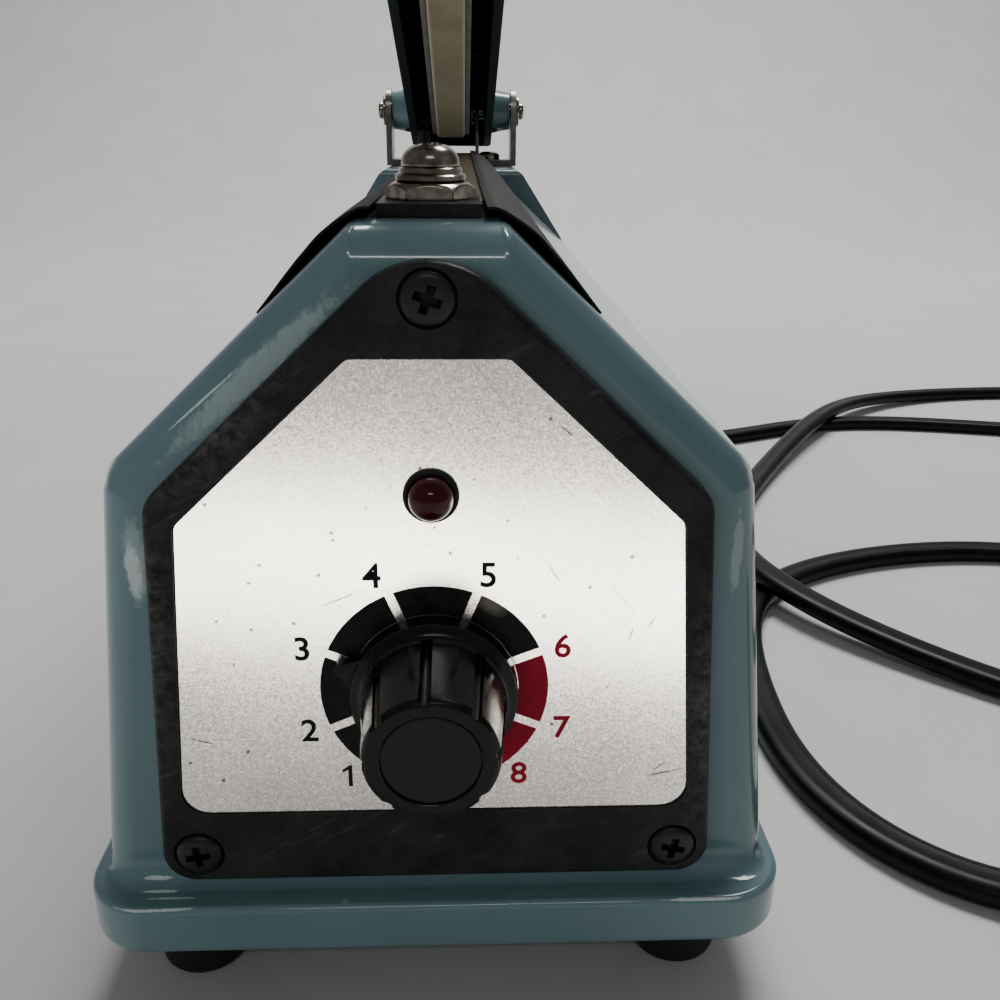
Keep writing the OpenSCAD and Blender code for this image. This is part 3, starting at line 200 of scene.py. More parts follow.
def area_light(name, place, target, size, power):
    """A rectangular lamp that faces a target. Lengths are in metres, the power is in watts."""
    data = bpy.data.lights.new(name, "AREA")
    data.shape = "RECTANGLE"
    data.size, data.size_y = size
    data.energy = power
    light = put(name, data)
    light.location = place
    light.rotation_euler = (Vector(target) - Vector(place)).to_track_quat("-Z", "Y").to_euler()
    return light


def link_light(light, piece, state):
    """Keeps a lamp to one piece (INCLUDE) or off it (EXCLUDE)."""
    group = bpy.data.collections.new(light.name + "_pieces")
    group.objects.link(piece)
    group.collection_objects[0].light_linking.link_state = state
    light.light_linking.receiver_collection = group


area_light("ceiling_light", (0.2, 0.55, 1.2), (0.03, 0.1, 0), (0.8, 0.4), 17.5)
window = area_light("window_light", (-0.75, -0.9, 0.34), (0, -0.1, 0.06), (1.2, 0.6), 4.6)
window.visible_glossy = False
link_light(window, sweep, "EXCLUDE")
area_light("front_light", (0.0, -1.1, 1.0), (0, -0.13, 0.05), (0.5, 0.07), 1.4)
card = area_light("white_card", (0.016, -0.2195, 0.004), (0, -0.134, 0.05), (0.21, 0.05), 0.33)
card.data.color = (1, 0.945, 0.86)
card.visible_camera = False
link_light(card, nodes["face_plate"], "INCLUDE")
world = bpy.data.worlds.new("room_light")
bpy.context.scene.world = world
world.use_nodes = True
background = world.node_tree.nodes["Background"]
background.inputs["Color"].default_value = (0.92, 0.93, 0.94, 1)
background.inputs["Strength"].default_value = 0.15
print("light: three lamps, a white card and a grey room")

# %% [markdown]
# ## Tools for modelling
# Each new piece starts as a primitive and is shaped in edit mode, as by hand. Without a mouse, the faces
# and edges to work on are chosen by where their corners are. Rounded edges come from one Bevel modifier
# whose width at each edge is a bevel weight, because a cast housing has a different radius at each of its
# edges.

# %% Tools: choosing and editing
def select_only(*objs):
    bpy.ops.object.select_all(action="DESELECT")
    for obj in objs:
        obj.select_set(True)
    bpy.context.view_layer.objects.active = objs[0]


def edit(obj):
    select_only(obj)
    bpy.ops.object.mode_set(mode="EDIT")
    bpy.ops.mesh.select_all(action="SELECT")


def done():
    """Closes edit mode, with all faces turned outwards."""
    bpy.ops.mesh.select_all(action="SELECT")
    bpy.ops.mesh.normals_make_consistent(inside=False)
    bpy.ops.object.mode_set(mode="OBJECT")


def pick(kind, test):
    """Selects in edit mode the verts, edges or faces whose corners, in mm, pass a test."""
    bpy.ops.mesh.select_mode(type=kind[:-1].upper())
    bpy.ops.mesh.select_all(action="DESELECT")
    shape = bmesh.from_edit_mesh(bpy.context.object.data)
    for item in getattr(shape, kind):
        if test([v.co / MM for v in ([item] if kind == "verts" else item.verts)]):
            item.select_set(True)
    shape.select_flush_mode()
    bmesh.update_edit_mesh(bpy.context.object.data)


def at(**places):
    """A test for corners that all lie at given places in mm. An x counts on both sides of the middle."""
    return lambda corners: all(
        abs((abs(v.x) if axis == "x" else getattr(v, axis)) - place) < 0.02
        for v in corners for axis, place in places.items())


def extrude(x=0, y=0, z=0):
    bpy.ops.mesh.extrude_region_move(TRANSFORM_OT_translate={"value": (x * MM, y * MM, z * MM)})


def resize(x=1, y=1, z=1):
    """Resizes what is selected about the origin."""
    bpy.ops.transform.resize(value=(x, y, z), center_override=(0, 0, 0))


print("tools for choosing and editing are ready")


# %% Tools: starting and finishing a piece
def named(name):
    made = bpy.context.object
    made.name = made.data.name = name
    return made


def add_box(name, low, high):
    """A cube primitive between two corners in mm."""
    low, high = Vector(low) * MM, Vector(high) * MM
    bpy.ops.mesh.primitive_cube_add(size=1, location=(low + high) / 2)
    bpy.context.object.scale = high - low
    bpy.ops.object.transform_apply(location=True, rotation=True, scale=True)
    return named(name)


def turned(name, profile, sides=72):
    """A solid on the Z axis: a disc extruded and resized from ring to ring of (radius, height) in mm."""
    bpy.ops.mesh.primitive_circle_add(vertices=sides, radius=profile[0][0] * MM, fill_type="NGON")
    made = named(name)
    edit(made)
    bpy.ops.transform.translate(value=(0, 0, profile[0][1] * MM))
    for (r0, z0), (r1, z1) in zip(profile, profile[1:]):
        extrude(z=z1 - z0)
        resize(x=r1 / r0, y=r1 / r0)
    done()
    return made


def laid(name, columns, rows, shape):
    """A grid primitive whose points, counted from 0 to 1 both ways, are laid on a shape in mm."""
    bpy.ops.mesh.primitive_grid_add(x_subdivisions=columns, y_subdivisions=rows, size=2)
    made = named(name)
    for vertex in made.data.vertices:
        vertex.co = Vector(shape((vertex.co.x + 1) / 2, (vertex.co.y + 1) / 2)) * MM
    return made


def seat(obj, place, front=False):
    """Moves a piece from the origin to its place in mm. One for the front panel turns its top to -Y."""
    select_only(obj)
    obj.location = Vector(place) * MM
    obj.rotation_euler = (math.pi / 2 if front else 0, 0, 0)
    bpy.ops.object.transform_apply(location=True, rotation=True, scale=True)
    return obj


def modify(obj, kind, **settings):
    """Adds one modifier and applies it."""
    select_only(obj)
    bpy.ops.object.modifier_add(type=kind)
    modifier = obj.modifiers[-1]
    for key, value in settings.items():
        setattr(modifier, key, value)
    bpy.ops.object.modifier_apply(modifier=modifier.name)


def carve(obj, cutter, operation="DIFFERENCE"):
    """Cuts a tool out of a piece, and throws the tool away."""
    modify(obj, "BOOLEAN", object=cutter, operation=operation, solver="EXACT")
    bpy.data.objects.remove(cutter)


def ease(obj, edges, segments=6):
    """Rounds edges. edges holds (test, width in mm), and the last test that an edge passes sets its width."""
    widest = max(width for test, width in edges)
    weights = obj.data.attributes.new("bevel_weight_edge", "FLOAT", "EDGE")
    for edge in obj.data.edges:
        for test, width in edges:
            if test([obj.data.vertices[k].co / MM for k in edge.vertices]):
                weights.data[edge.index].value = width / widest
    modify(obj, "BEVEL", width=widest * MM, segments=segments, limit_method="WEIGHT", use_clamp_overlap=False)
    obj.data.attributes.remove(obj.data.attributes["bevel_weight_edge"])


def soften(obj, width, segments=3, angle=40):
    """Rounds every edge that is sharper than an angle."""
    modify(obj, "BEVEL", width=width * MM, segments=segments, limit_method="ANGLE",
           angle_limit=math.radians(angle))


def smooth(obj, angle=35):
    """Shades curves smooth and keeps flats flat."""
    select_only(obj)
    bpy.ops.object.shade_smooth_by_angle(angle=math.radians(angle))
    modify(obj, "WEIGHTED_NORMAL", keep_sharp=True)
    return obj


def join(*objs):
    select_only(*objs)
    bpy.ops.object.join()
    return objs[0]


def settle(piece, slot, *replaced, body="housing"):
    """Says which CAD nodes a piece stands for, and which body it moves with. Its slot is not used."""
    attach(piece, body)
    if replaced:
        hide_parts(*replaced)
    print(piece.name, "rides on", body, "with", len(piece.data.polygons), "faces")
    return piece


def span(node):
    """The lowest and highest corners of a CAD node, in mm."""
    return [Vector(corner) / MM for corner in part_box(node)]


print("tools for starting and finishing are ready")

# %% [markdown]
# ## The housing
# The real housing is one aluminium casting with a section like a house: leaning walls, two roof sides, a
# narrow flat ridge, and a wider block at the rear that carries the hinge. It could be lofted through
# sections, but a cube does it in a few moves: the top is narrowed to the shoulders, the block is split off
# by a bisect, and each half of the top is extruded to its own height and narrowed again.

# %% Housing: walls, roof and block
casting_low, casting_high = span("body_casting")
FRONT, REAR, STEP = -131.5, 134, 84
LEDGE, WALL, SHOULDER, RIDGE, BLOCK = 16.2, 19.2, 66.4, casting_high.z, 87.7
WALL_X, SHOULDER_X, RIDGE_X, BLOCK_X = 39.75, 34.4, 7.5, 20.5
WALL_Y, FOOT_X, FOOT_Y, FOOT_Z = (REAR - FRONT) / 2, 0.4, 2.5, 3

housing = add_box("housing_shell", (-WALL_X, FRONT, WALL), (WALL_X, REAR, SHOULDER))
edit(housing)
pick("faces", at(z=SHOULDER))
resize(x=SHOULDER_X / WALL_X)
pick("faces", at(z=WALL))
out, down = 0, 0
for a in [*map(math.radians, range(15, 91, 15)), None]:
    spread, drop = (1 - math.cos(a), math.sin(a)) if a else (1, 2)
    extrude(z=-FOOT_Z * (drop - down))  # the walls run out on to the flange in a hollow curve
    resize(x=(WALL_X + FOOT_X * spread) / (WALL_X + FOOT_X * out),
           y=(WALL_Y + FOOT_Y * spread) / (WALL_Y + FOOT_Y * out))
    out, down = spread, drop
bpy.ops.mesh.select_all(action="SELECT")
bpy.ops.mesh.bisect(plane_co=(0, STEP * MM, 0), plane_no=(0, 1, 0))
for top, half, ahead in ((RIDGE, RIDGE_X, True), (BLOCK, BLOCK_X, False)):
    pick("faces", lambda c: at(z=SHOULDER)(c) and (max(v.y for v in c) < STEP + 1) == ahead)
    extrude(z=top - SHOULDER)
    resize(x=half / SHOULDER_X)
done()
print("walls, roof and block:", len(housing.data.polygons), "faces")

# %% Housing: its rounded edges
ease(housing, [
    (lambda c: at(y=FRONT)(c) and not at(z=WALL)(c), 3.8),
    (lambda c: at(y=REAR)(c) and not at(z=WALL)(c), 3.5),
    (lambda c: abs(c[0].z - c[1].z) > 0.05 and max(v.z for v in c) < SHOULDER + 0.1
        and all(abs(v.y) > 130 for v in c), 4.0),
    (at(x=SHOULDER_X, z=SHOULDER), 2.0),
    (at(x=RIDGE_X, z=RIDGE), 0.7),
    (at(x=BLOCK_X, z=BLOCK), 2.5),
    (at(y=STEP, z=RIDGE), 0.5),
    (at(y=FRONT, z=RIDGE), 5.2),
])
print("rounded:", len(housing.data.polygons), "faces")

# %% [markdown]
# The flange is a second box with round corners and a crisp top edge. Its underside is inset and pushed in, so
# that the bottom plate lies in a recess. The two are joined: they overlap, as one casting would.

# %% Housing: the flange
FLANGE_X, FLANGE_Y, FLANGE_Z = casting_high.x + 0.3, casting_high.y, casting_low.z
FLANGE_R, RIM, RECESS = 8, 2, 1.2
flange = add_box("flange", (-FLANGE_X, -FLANGE_Y, FLANGE_Z), (FLANGE_X, FLANGE_Y, LEDGE))
ease(flange, [(lambda c: abs(c[0].z - c[1].z) > 1, FLANGE_R)], 12)
edit(flange)
pick("faces", at(z=FLANGE_Z))
bpy.ops.mesh.inset(thickness=RIM * MM)
plate_low, plate_high = span("bottom_plate")
resize(y=(plate_high.y - plate_low.y) / 2 / (FLANGE_Y - RIM))
bpy.ops.transform.translate(value=(0, (plate_high.y + plate_low.y) / 2 * MM, 0))
extrude(z=RECESS)
done()


def on_outline(v):
    from_corner = [max(abs(v.x) - FLANGE_X + FLANGE_R, 0), max(abs(v.y) - FLANGE_Y + FLANGE_R, 0)]
    return math.hypot(*from_corner) > FLANGE_R - 0.1


ease(flange, [(at(z=LEDGE), 0.8), (lambda c: at(z=FLANGE_Z)(c) and all(on_outline(v) for v in c), 1.3)], 4)
settle(smooth(join(housing, flange), 40), "teal_enamel", "body_casting")

# %% [markdown]
# ## The bezel and the screws
# A moulded black frame covers the front. It follows the house shape, has an opening for the face plate and
# three sunk screws. It is cut like a sheet: a polygon with one corner for each bend, its corners rounded by a
# vertex bevel, then extruded. Boolean tools cut the opening and the screw seats, as a mill would.

# %% Bezel
def cut_sheet(name, corners, front, back):
    """A flat solid from y = front to y = back. corners holds (x, z, radius), all in mm."""
    bpy.ops.mesh.primitive_circle_add(vertices=len(corners), fill_type="NGON")
    made = named(name)
    for vertex, (x, z, radius) in zip(made.data.vertices, corners):
        vertex.co = Vector((x, front, z)) * MM
    edit(made)
    for k, (x, z, radius) in enumerate(corners):
        here = Vector((x, z))
        ways = [Vector(corners[(k + step) % len(corners)][:2]) - here for step in (-1, 1)]
        pick("verts", lambda c: (c[0] - Vector((x, front, z))).length < 0.01)
        bpy.ops.mesh.bevel(offset=radius / math.tan(ways[0].angle(ways[1]) / 2) * MM, segments=8,
                           affect="VERTICES", clamp_overlap=False)
    bpy.ops.mesh.select_all(action="SELECT")
    extrude(y=back - front)
    done()
    return made


PANEL, PLATE, BED, SUNK = -134.0, -133.7, -133.1, 0.7
bezel = cut_sheet("bezel_frame", [
    (-31.95, 17.6, 3.8), (31.95, 17.6, 3.8), (28.95, 64.7, 3.5), (0, 92.07, 9), (-28.95, 64.7, 3.5),
], PANEL, FRONT)
soften(bezel, 0.7, 4)
opening = cut_sheet("opening", [
    (-28.85, 27.05, 3), (28.85, 27.05, 3), (26.05, 62.35, 1.2), (8.0, 79.5, 1.2), (-8.0, 79.5, 1.2),
    (-26.05, 62.35, 1.2),
], PANEL - 1, BED)
bezel_screw_places = [(0, 85.17), (-27.4, 21.6), (27.4, 21.6)]
for x, z in bezel_screw_places:
    opening = join(opening, seat(turned("seat", [(2.85, -SUNK), (2.95, 1)]), (x, PANEL, z), front=True))
carve(bezel, opening)
soften(bezel, 0.18, 2, 50)
settle(smooth(bezel), "black_abs", "front_bezel")


# %% Screws with a cross recess
def cross_screw(name, radius, height, turn, flat, side=0.45):
    """A round head with a cross recess, on the Z axis. A smaller flat makes the head flatter, and side is
    the share of its height where the wall is upright."""
    dome = [(radius * 0.96, 0), (radius, 0.25 * side * height), (radius, side * height)]
    dome += [(radius * math.cos(a) ** flat, height * (side + (1 - side) * math.sin(a)))
             for a in map(math.radians, (15, 30, 45, 58, 70, 79, 85))]
    head = turned(name, dome)
    long, narrow = 0.65 * radius, 0.18 * radius
    for way in (0, 90):
        slot = add_box("slot", (-long, -narrow, -1), (long, narrow, height + 1))
        edit(slot)
        pick("faces", at(z=-1))
        resize(x=0.4, y=0.7)
        done()
        slot.data.transform(Matrix.Rotation(math.radians(way + turn), 4, "Z"))
        carve(head, slot)
    soften(head, 0.07, 2, 35)
    return smooth(head, 50)


bezel_screws = settle(join(*[
    seat(cross_screw("bezel_screw", 2.65, 1.3, turn, flat=0.45), (x, PANEL + SUNK, z), front=True)
    for (x, z), turn in zip(bezel_screw_places, (-21, 8, -12))
]), "black_steel", "bezel_screws")

# %% [markdown]
# ## The dial
# The face plate itself is a flat sheet, so the CAD node stays. A ring of printed segments lies on it, black
# up to 6 and crimson beyond, with the numbers 1 to 8 outside. The print could be painted in the shader, but
# thin solids keep crisp edges at any distance. A segment is a grid that is bent round the dial's centre and
# extruded.

# %% Dial: the ring
DIAL = Vector((0, PLATE, 43.3))
RING = DIAL + Vector((0, 0, -0.25))
RING_IN, RING_OUT, GAP, PRINT = 9.1, 12.35, 0.95, 0.03


def ring_segment(name, start, stop):
    """A printed segment between two angles in degrees from the top, clockwise as seen from the front."""
    inner, outer = [math.degrees(GAP / 2 / r) for r in (RING_IN, RING_OUT)]

    def bent(part, out):
        radius = RING_IN + (RING_OUT - RING_IN) * out
        shy = inner + (outer - inner) * out
        a = math.radians(start + shy + (stop - start - 2 * shy) * part)
        return RING + Vector((radius * math.sin(a), 0, radius * math.cos(a)))

    made = laid(name, 40, 2, bent)
    edit(made)
    extrude(y=-PRINT)
    done()
    return made


black_marks = [ring_segment("dial_black", a, b)
               for a, b in ((-153, -113), (-113, -68.5), (-68.5, -22), (-22, 22), (22, 68.5))]
red_marks = [ring_segment("dial_crimson", a, b) for a, b in ((68.5, 113), (113, 153))]
print("dial ring:", len(black_marks) + len(red_marks), "segments")

# %% Dial: the numbers
NUMBER_SIZE, NUMBER_BOLD = 3.9, 0.07
number_places = [(-9.9, 31.9), (-13.8, 37.8), (-14.0, 48.0), (-6.3, 56.5), (5.8, 56.5), (13.8, 48.0),
                 (13.9, 37.8), (9.3, 31.8)]
for number, (x, z) in enumerate(number_places, 1):
    if number == 1:  # the text font's 1 is a bare bar, so this one is cut with its flag
        flagged = [(0.05, -1.4), (0.5, -1.4), (0.5, 1.4), (0.2, 1.4), (-0.6, 0.8), (-0.6, 0.42), (0.05, 0.82)]
        corners = [(x + a, z + b, 0.01) for a, b in flagged]
        black_marks.append(cut_sheet("dial_one", corners, PLATE - PRINT, PLATE))
        continue
    bpy.ops.object.text_add(radius=NUMBER_SIZE * MM)
    text = named("dial_number").data
    text.body = str(number)
    text.align_x, text.align_y = "CENTER", "CENTER"
    text.extrude = PRINT / 2 * MM
    text.offset = NUMBER_BOLD * MM
    text.resolution_u = 4
    bpy.ops.object.convert(target="MESH")
    mark = seat(bpy.context.object, (x, PLATE - PRINT / 2, z), front=True)
    (red_marks if number > 5 else black_marks).append(mark)
black_print = settle(join(*black_marks), "black_abs")
red_print = settle(join(*red_marks), "button_red")

# %% [markdown]
# ## The knob
# The knob is moulded phenolic: a flat skirt with a wedge that points at the scale, a long grip with eight
# narrow grooves, and a satin disc let into its end. It is turned from one disc, ring by ring, and the
# grooves are milled in one go by eight rods, joined into one Boolean tool.

# %% Knob: the turned body
POINTER = math.radians(72)  # where the wedge points at rest, from the top
knob = turned("knob_body", [
    (8.9, 0), (9.0, 0.15), (9.0, 1.95), (8.85, 2.25), (8.4, 2.45), (8.0, 2.6), (7.75, 2.95), (7.6, 3.6),
    (6.85, 12.35), (6.72, 12.75), (6.45, 13.0), (6.1, 13.1), (5.1, 13.1), (5.0, 13.0), (5.0, 12.6),
], 96)
grooves = []
lean = Matrix.Rotation(math.atan2(0.75, 8.75), 4, "X")  # the grip narrows by 0.75 mm over 8.75 mm
for k in range(8):
    a = POINTER + math.radians(22.5 + 45 * k)
    tool = turned("groove", [(0.62, 3.0), (0.62, 12.9), (0.3, 13.4)], 20)
    tool.data.transform(Matrix.Rotation(a, 4, "Z") @ Matrix.Translation((0, 7.85 * MM, 0)) @ lean)
    grooves.append(tool)
carve(knob, join(*grooves))
soften(knob, 0.14, 2, 35)
print("knob with", len(grooves), "grooves:", len(knob.data.polygons), "faces")

# %% Knob: the pointer and the disc
pointer = add_box("pointer", (-3.75, 6.4, 0), (3.75, 10.9, 1.9))
edit(pointer)
pick("faces", at(y=10.9))
resize(x=0.1)
pick("edges", at(y=10.9, z=1.9))
bpy.ops.transform.translate(value=(0, 0, -0.5 * MM))
done()
soften(pointer, 0.15, 2, 30)
pointer.data.transform(Matrix.Rotation(POINTER, 4, "Z"))
knob = smooth(join(knob, pointer), 40)
settle(seat(knob, (DIAL.x, span("timer_knob")[1].y, DIAL.z), front=True), "gloss_black", "timer_knob",
       body="knob")
disc = smooth(turned("knob_disc", [(4.85, 0), (4.85, 0.3), (4.7, 0.4), (4.4, 0.42), (2.0, 0.4)], 96), 30)
settle(seat(disc, (DIAL.x, span("knob_cap")[1].y, DIAL.z), front=True), "satin_grey", "knob_cap", body="knob")

# %% [markdown]
# ## The lamp
# A small dark red lens stands in the plate, in a thin black collar. Both are turned: the lens is a cylinder
# that closes in a dome, ring by ring.

# %% Lamp
lamp_low, lamp_high = span("indicator_lamp")
LAMP = Vector((0, PLATE, (lamp_low.z + lamp_high.z) / 2))
LENS_R = 2.3
upright = PLATE - lamp_low.y - LENS_R
lens_rings = [(LENS_R, -8), (LENS_R, upright)]
lens_rings += [(LENS_R * math.cos(a), upright + LENS_R * math.sin(a))
               for a in map(math.radians, range(8, 89, 8))]
lens_dome = smooth(turned("lamp_lens", lens_rings, 64), 50)
settle(seat(lens_dome, LAMP, front=True), "red_lens", "indicator_lamp")
collar = smooth(turned("lamp_collar", [
    (2.85, 0), (2.85, 0.3), (2.72, 0.5), (2.5, 0.58), (2.36, 0.5), (2.33, 0.1),
], 64), 50)
settle(seat(collar, LAMP, front=True), "black_abs", "lamp_ring")

# %% [markdown]
# ## The front terminal
# The heating wire ends under a screw at the front of the ridge: a six-sided nut, two washers and a domed
# screw, all in aged nickel. The nut is a hexagon that is intersected with a turned cone, which gives its
# chamfer the scalloped edge of a real nut.

# %% Terminal: nut, washers and screw
nut_low, nut_high = span("front_terminal_nut")
post = (nut_low + nut_high) / 2
flats, tall = nut_high.y - nut_low.y, nut_high.z - nut_low.z
corner_r = flats / 2 / math.cos(math.pi / 6)
nut = turned("terminal_nut", [(corner_r, 0), (corner_r, tall)], 6)
nut.data.transform(Matrix.Rotation(math.pi / 6, 4, "Z"))
cone = turned("cone", [(4.6, -0.1), (4.95, 0.25), (4.95, 0.8), (4.1, tall - 0.25), (3.6, tall)], 96)
carve(nut, cone, "INTERSECT")
soften(nut, 0.1, 2, 40)
smooth(nut, 30)
settle(seat(nut, (post.x, post.y, nut_low.z)), "bright_steel", "front_terminal_nut")

washer_low, washer_high = span("front_terminal_washers")
wide, thick = (washer_high.x - washer_low.x) / 2, (washer_high.z - washer_low.z) / 2
rings = [(wide - 0.15, 0), (wide, 0.12), (wide, thick - 0.15), (wide - 0.15, thick - 0.03), (2, thick)]
washer = turned("terminal_washers", rings)
narrower = rings[:1] + [(0.9 * r, z) for r, z in rings[1:]]
smooth(join(washer, turned("spring_washer", [(r, z + thick) for r, z in narrower])))
settle(seat(washer, (post.x, post.y, washer_low.z)), "bright_steel", "front_terminal_washers")

screw_low, screw_high = span("front_terminal_screw")
terminal_screw = cross_screw("terminal_screw", (screw_high.x - screw_low.x) / 2, screw_high.z - washer_high.z,
                             20, flat=0.85, side=0.16)
settle(seat(terminal_screw, (post.x, post.y, washer_high.z)), "bright_steel", "front_terminal_screw")

# %% [markdown]
# ## The release cloth
# A strip of coated glass cloth lies over the heating wire and is held down on both roof sides. It is a flat
# grid whose points are folded over the ridge, then given a thickness. The clamp sheets hold it flat, so
# there is nothing for a cloth simulation to do.

# %% Release cloth
cloth_low, cloth_high = span("release_cloth")
CLOTH_X, CLOTH_Z, CLOTH_T, SLOPE = 7.1, cloth_high.z - 0.075, 0.12, math.radians(43.4)
RIPPLE, FLAT_X = 0.02, 5  # height of the ripples, and how far from the middle they reach
drop = (cloth_high.x - CLOTH_X - 0.1) / math.cos(SLOPE)
cloth_w, cloth_l = 2 * (CLOTH_X + drop), cloth_high.y - cloth_low.y


def folded(u, v):
    across, along = (u - 0.5) * cloth_w, cloth_low.y + v * cloth_l
    over = max(abs(across) - CLOTH_X, 0)
    x = math.copysign(min(abs(across), CLOTH_X) + over * math.cos(SLOPE), across)
    ripple = RIPPLE * math.sin(along * 0.31 + 2 * math.sin(along * 0.07)) * (abs(across) < FLAT_X)
    return x, along, CLOTH_Z - over * math.sin(SLOPE) + ripple


cloth = laid("coated_cloth", 64, 120, folded)
modify(cloth, "SOLIDIFY", thickness=CLOTH_T * MM, offset=0)
settle(smooth(cloth, 60), "release_cloth", "release_cloth")

# %% [markdown]
# ## The clamp sheets
# Two thin stiff sheets of coated glass cloth hold the release cloth down. Each is fixed on the ridge,
# springs away from the roof in a shallow bow and touches it again with its lower edge. Bending a flat sheet
# would need a lattice, so a grid is laid along the bowed line instead and then thickened.

# %% Clamp sheets
SHEET_T, WAVE = 0.28, 0.07
bow = smooth_line([
    (5.75, 0, 92.72), (7.2, 0, 92.4), (10.2, 0, 90.4), (12.1, 0, 88.5), (14.05, 0, 86.35), (17.35, 0, 82.45),
], 6, leave=(1, 0, -0.1), enter=(0.68, 0, -0.73))


def clamp_sheet(name, side, node):
    """A bowed sheet on one side of the ridge. Its middle is slightly wavy, as a thin sheet is."""
    low, high = span(node)

    def bowed(u, v):
        down, along = u * (len(bow) - 1), low.y + v * (high.y - low.y)
        step = min(int(down), len(bow) - 2)
        point = bow[step].lerp(bow[step + 1], down - step) / MM
        lift = WAVE * (1 + math.sin(along * 0.09 + side)) * math.sin(math.pi * u)
        return side * (point.x + lift), along, point.z + lift

    made = laid(name, 30, 90, bowed)
    modify(made, "SOLIDIFY", thickness=SHEET_T * MM, offset=0)
    edit(made)
    done()
    return settle(smooth(made, 60), "glass_cloth", node)


clamp_sheets = [clamp_sheet("clamp_left", -1, "clamp_sheet_left"),
                clamp_sheet("clamp_right", 1, "clamp_sheet_right")]

# %% [markdown]
# ## The return spring
# A torsion spring sits round the hinge shaft. One leg presses up under the arm, the other stands on the
# stirrup. A screw modifier makes coils but no legs, so the wire is a tube along one line: leg, coils, leg.

# %% Spring
HINGE = Vector((0, 111, 104))
OPEN = math.radians(17)
arm_turn = Matrix.Rotation(-OPEN, 3, "X")  # from the arm's own directions to the world's
COIL_R, WIRE_R, PITCH, COIL_X, TURNS = 3.55, 0.6, 1.7, -0.85, 6
COIL_STEPS, WIRE_SIDES = 32 * TURNS, 12
LEG_LONG, LEG_HIGH = 14.0, 6.35  # reach of the upper leg, and height of its tip over the axis
first_turn, last_turn = math.pi / 2 - OPEN, math.pi + 2 * math.pi * (TURNS - 1)

coil = []
for k in range(COIL_STEPS + 1):
    a = first_turn + (last_turn - first_turn) * k / COIL_STEPS
    coil.append(HINGE + Vector((COIL_X + PITCH * (a - first_turn) / (2 * math.pi),
                                COIL_R * math.cos(a), COIL_R * math.sin(a))))
upper = [HINGE + arm_turn @ Vector((COIL_X, -LEG_LONG * t, COIL_R + (LEG_HIGH - COIL_R) * t))
         for t in (1, 0.85, 0.7, 0.55, 0.4, 0.25, 0.1)]
foot = Vector((coil[-1].x, coil[-1].y, span("return_spring")[0].z + 0.1))
lower = [coil[-1].lerp(foot, t) for t in (0.2, 0.5, 0.8, 1)]
wire_line = [q * MM for q in upper + coil + lower]
side = Vector((1, 0, 0))
wire_rings = []
for point, way in zip(wire_line, headings(wire_line, wire_line[1] - wire_line[0], (0, 0, -1))):
    way = way.normalized()
    side = (side - way * side.dot(way)).normalized()
    up = way.cross(side)
    wire_rings.append([point + (side * math.cos(a) + up * math.sin(a)) * WIRE_R * MM
                       for a in [2 * math.pi * k / WIRE_SIDES for k in range(WIRE_SIDES)]])
spring = tube("torsion_spring", wire_rings)
edit(spring)
done()
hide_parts("return_spring")
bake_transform(spring)
print("spring:", len(wire_rings), "rings of wire")

# %% [markdown]
# ## Pieces whose CAD shape is already right
# The arm, the hinge, the strip holder, the feet, the gland and the plug have their real shape in the CAD
# model, but their meshes are loose triangles with knife-sharp edges. A copy is merged, its flat facets are
# joined, its edges are eased by a small bevel, as tumbling or a mould would leave them, and its curves are
# shaded smooth.

# %% Fair copies
fair = {}
eased = {
    "arm": [("press_arm", "teal_enamel", 0.5), ("strip_holder", "strip_aluminium", 0.15),
            ("silicone_strip", "silicone", 0.3)],
    "housing": [("hinge_stirrup", "plain_steel", 0.2), ("hinge_shaft", "bright_steel", 0.2),
                ("shaft_clips", "bright_steel", 0.1), ("front_insulator", "black_abs", 0.12),
                ("rear_insulator", "black_abs", 0.1), ("rubber_feet", "black_rubber", 0.5),
                ("cord_gland", "black_rubber", 0.25), ("mains_plug", "black_pvc", 0.8),
                ("plug_pins", "pin_brass", 0.2), ("bottom_plate", "plain_steel", 0),
                ("rear_terminal_washer", "bright_steel", 0.06)],
}
for node, slot, edge, body in [(*row, body) for body, rows in eased.items() for row in rows]:
    made = put(node + "_fair", nodes[node].data.copy())
    made.data.materials.clear()
    edit(made)
    bpy.ops.mesh.remove_doubles(threshold=0.002 * MM)
    bpy.ops.mesh.dissolve_limited(angle_limit=math.radians(0.5))
    bpy.ops.object.mode_set(mode="OBJECT")
    if edge:
        soften(made, edge, 2, 30)
    fair[node] = settle(smooth(made), slot, node, body=body)

# %% Lead: what it is
settle(lead, "black_pvc", "power_cord")

# %% [markdown]
# ## Finishes
# A finish starts from what the real surface is. One helper turns the colour that the eye sees, an sRGB hex
# value, into the linear value that a shader needs. Another adds a node, fills its inputs and gives back the
# output that the next node takes, so that a finish reads as a short list of patterns. A Map Range node's
# list holds its value, the range that it reads and the range that it gives.

# %% Finishes: helpers
SHARE, UNDER, ABOVE = 0, 6, 7  # a Mix node's inputs for colours, by number because several share a name
COLOURS = {"out": 2, "data_type": "RGBA"}


def linear(hex_colour):
    channels = [int(hex_colour[i:i + 2], 16) / 255 for i in (1, 3, 5)]
    return tuple(c / 12.92 if c < 0.04045 else ((c + 0.055) / 1.055) ** 2.4 for c in channels) + (1,)


def fill(node, inputs):
    """Fills a node's inputs with values or other nodes' outputs: a dict by name, a list in the node's
    own order."""
    for key, value in inputs.items() if isinstance(inputs, dict) else enumerate(inputs):
        if isinstance(value, bpy.types.NodeSocket):
            node.id_data.links.new(value, node.inputs[key])
        else:
            node.inputs[key].default_value = value


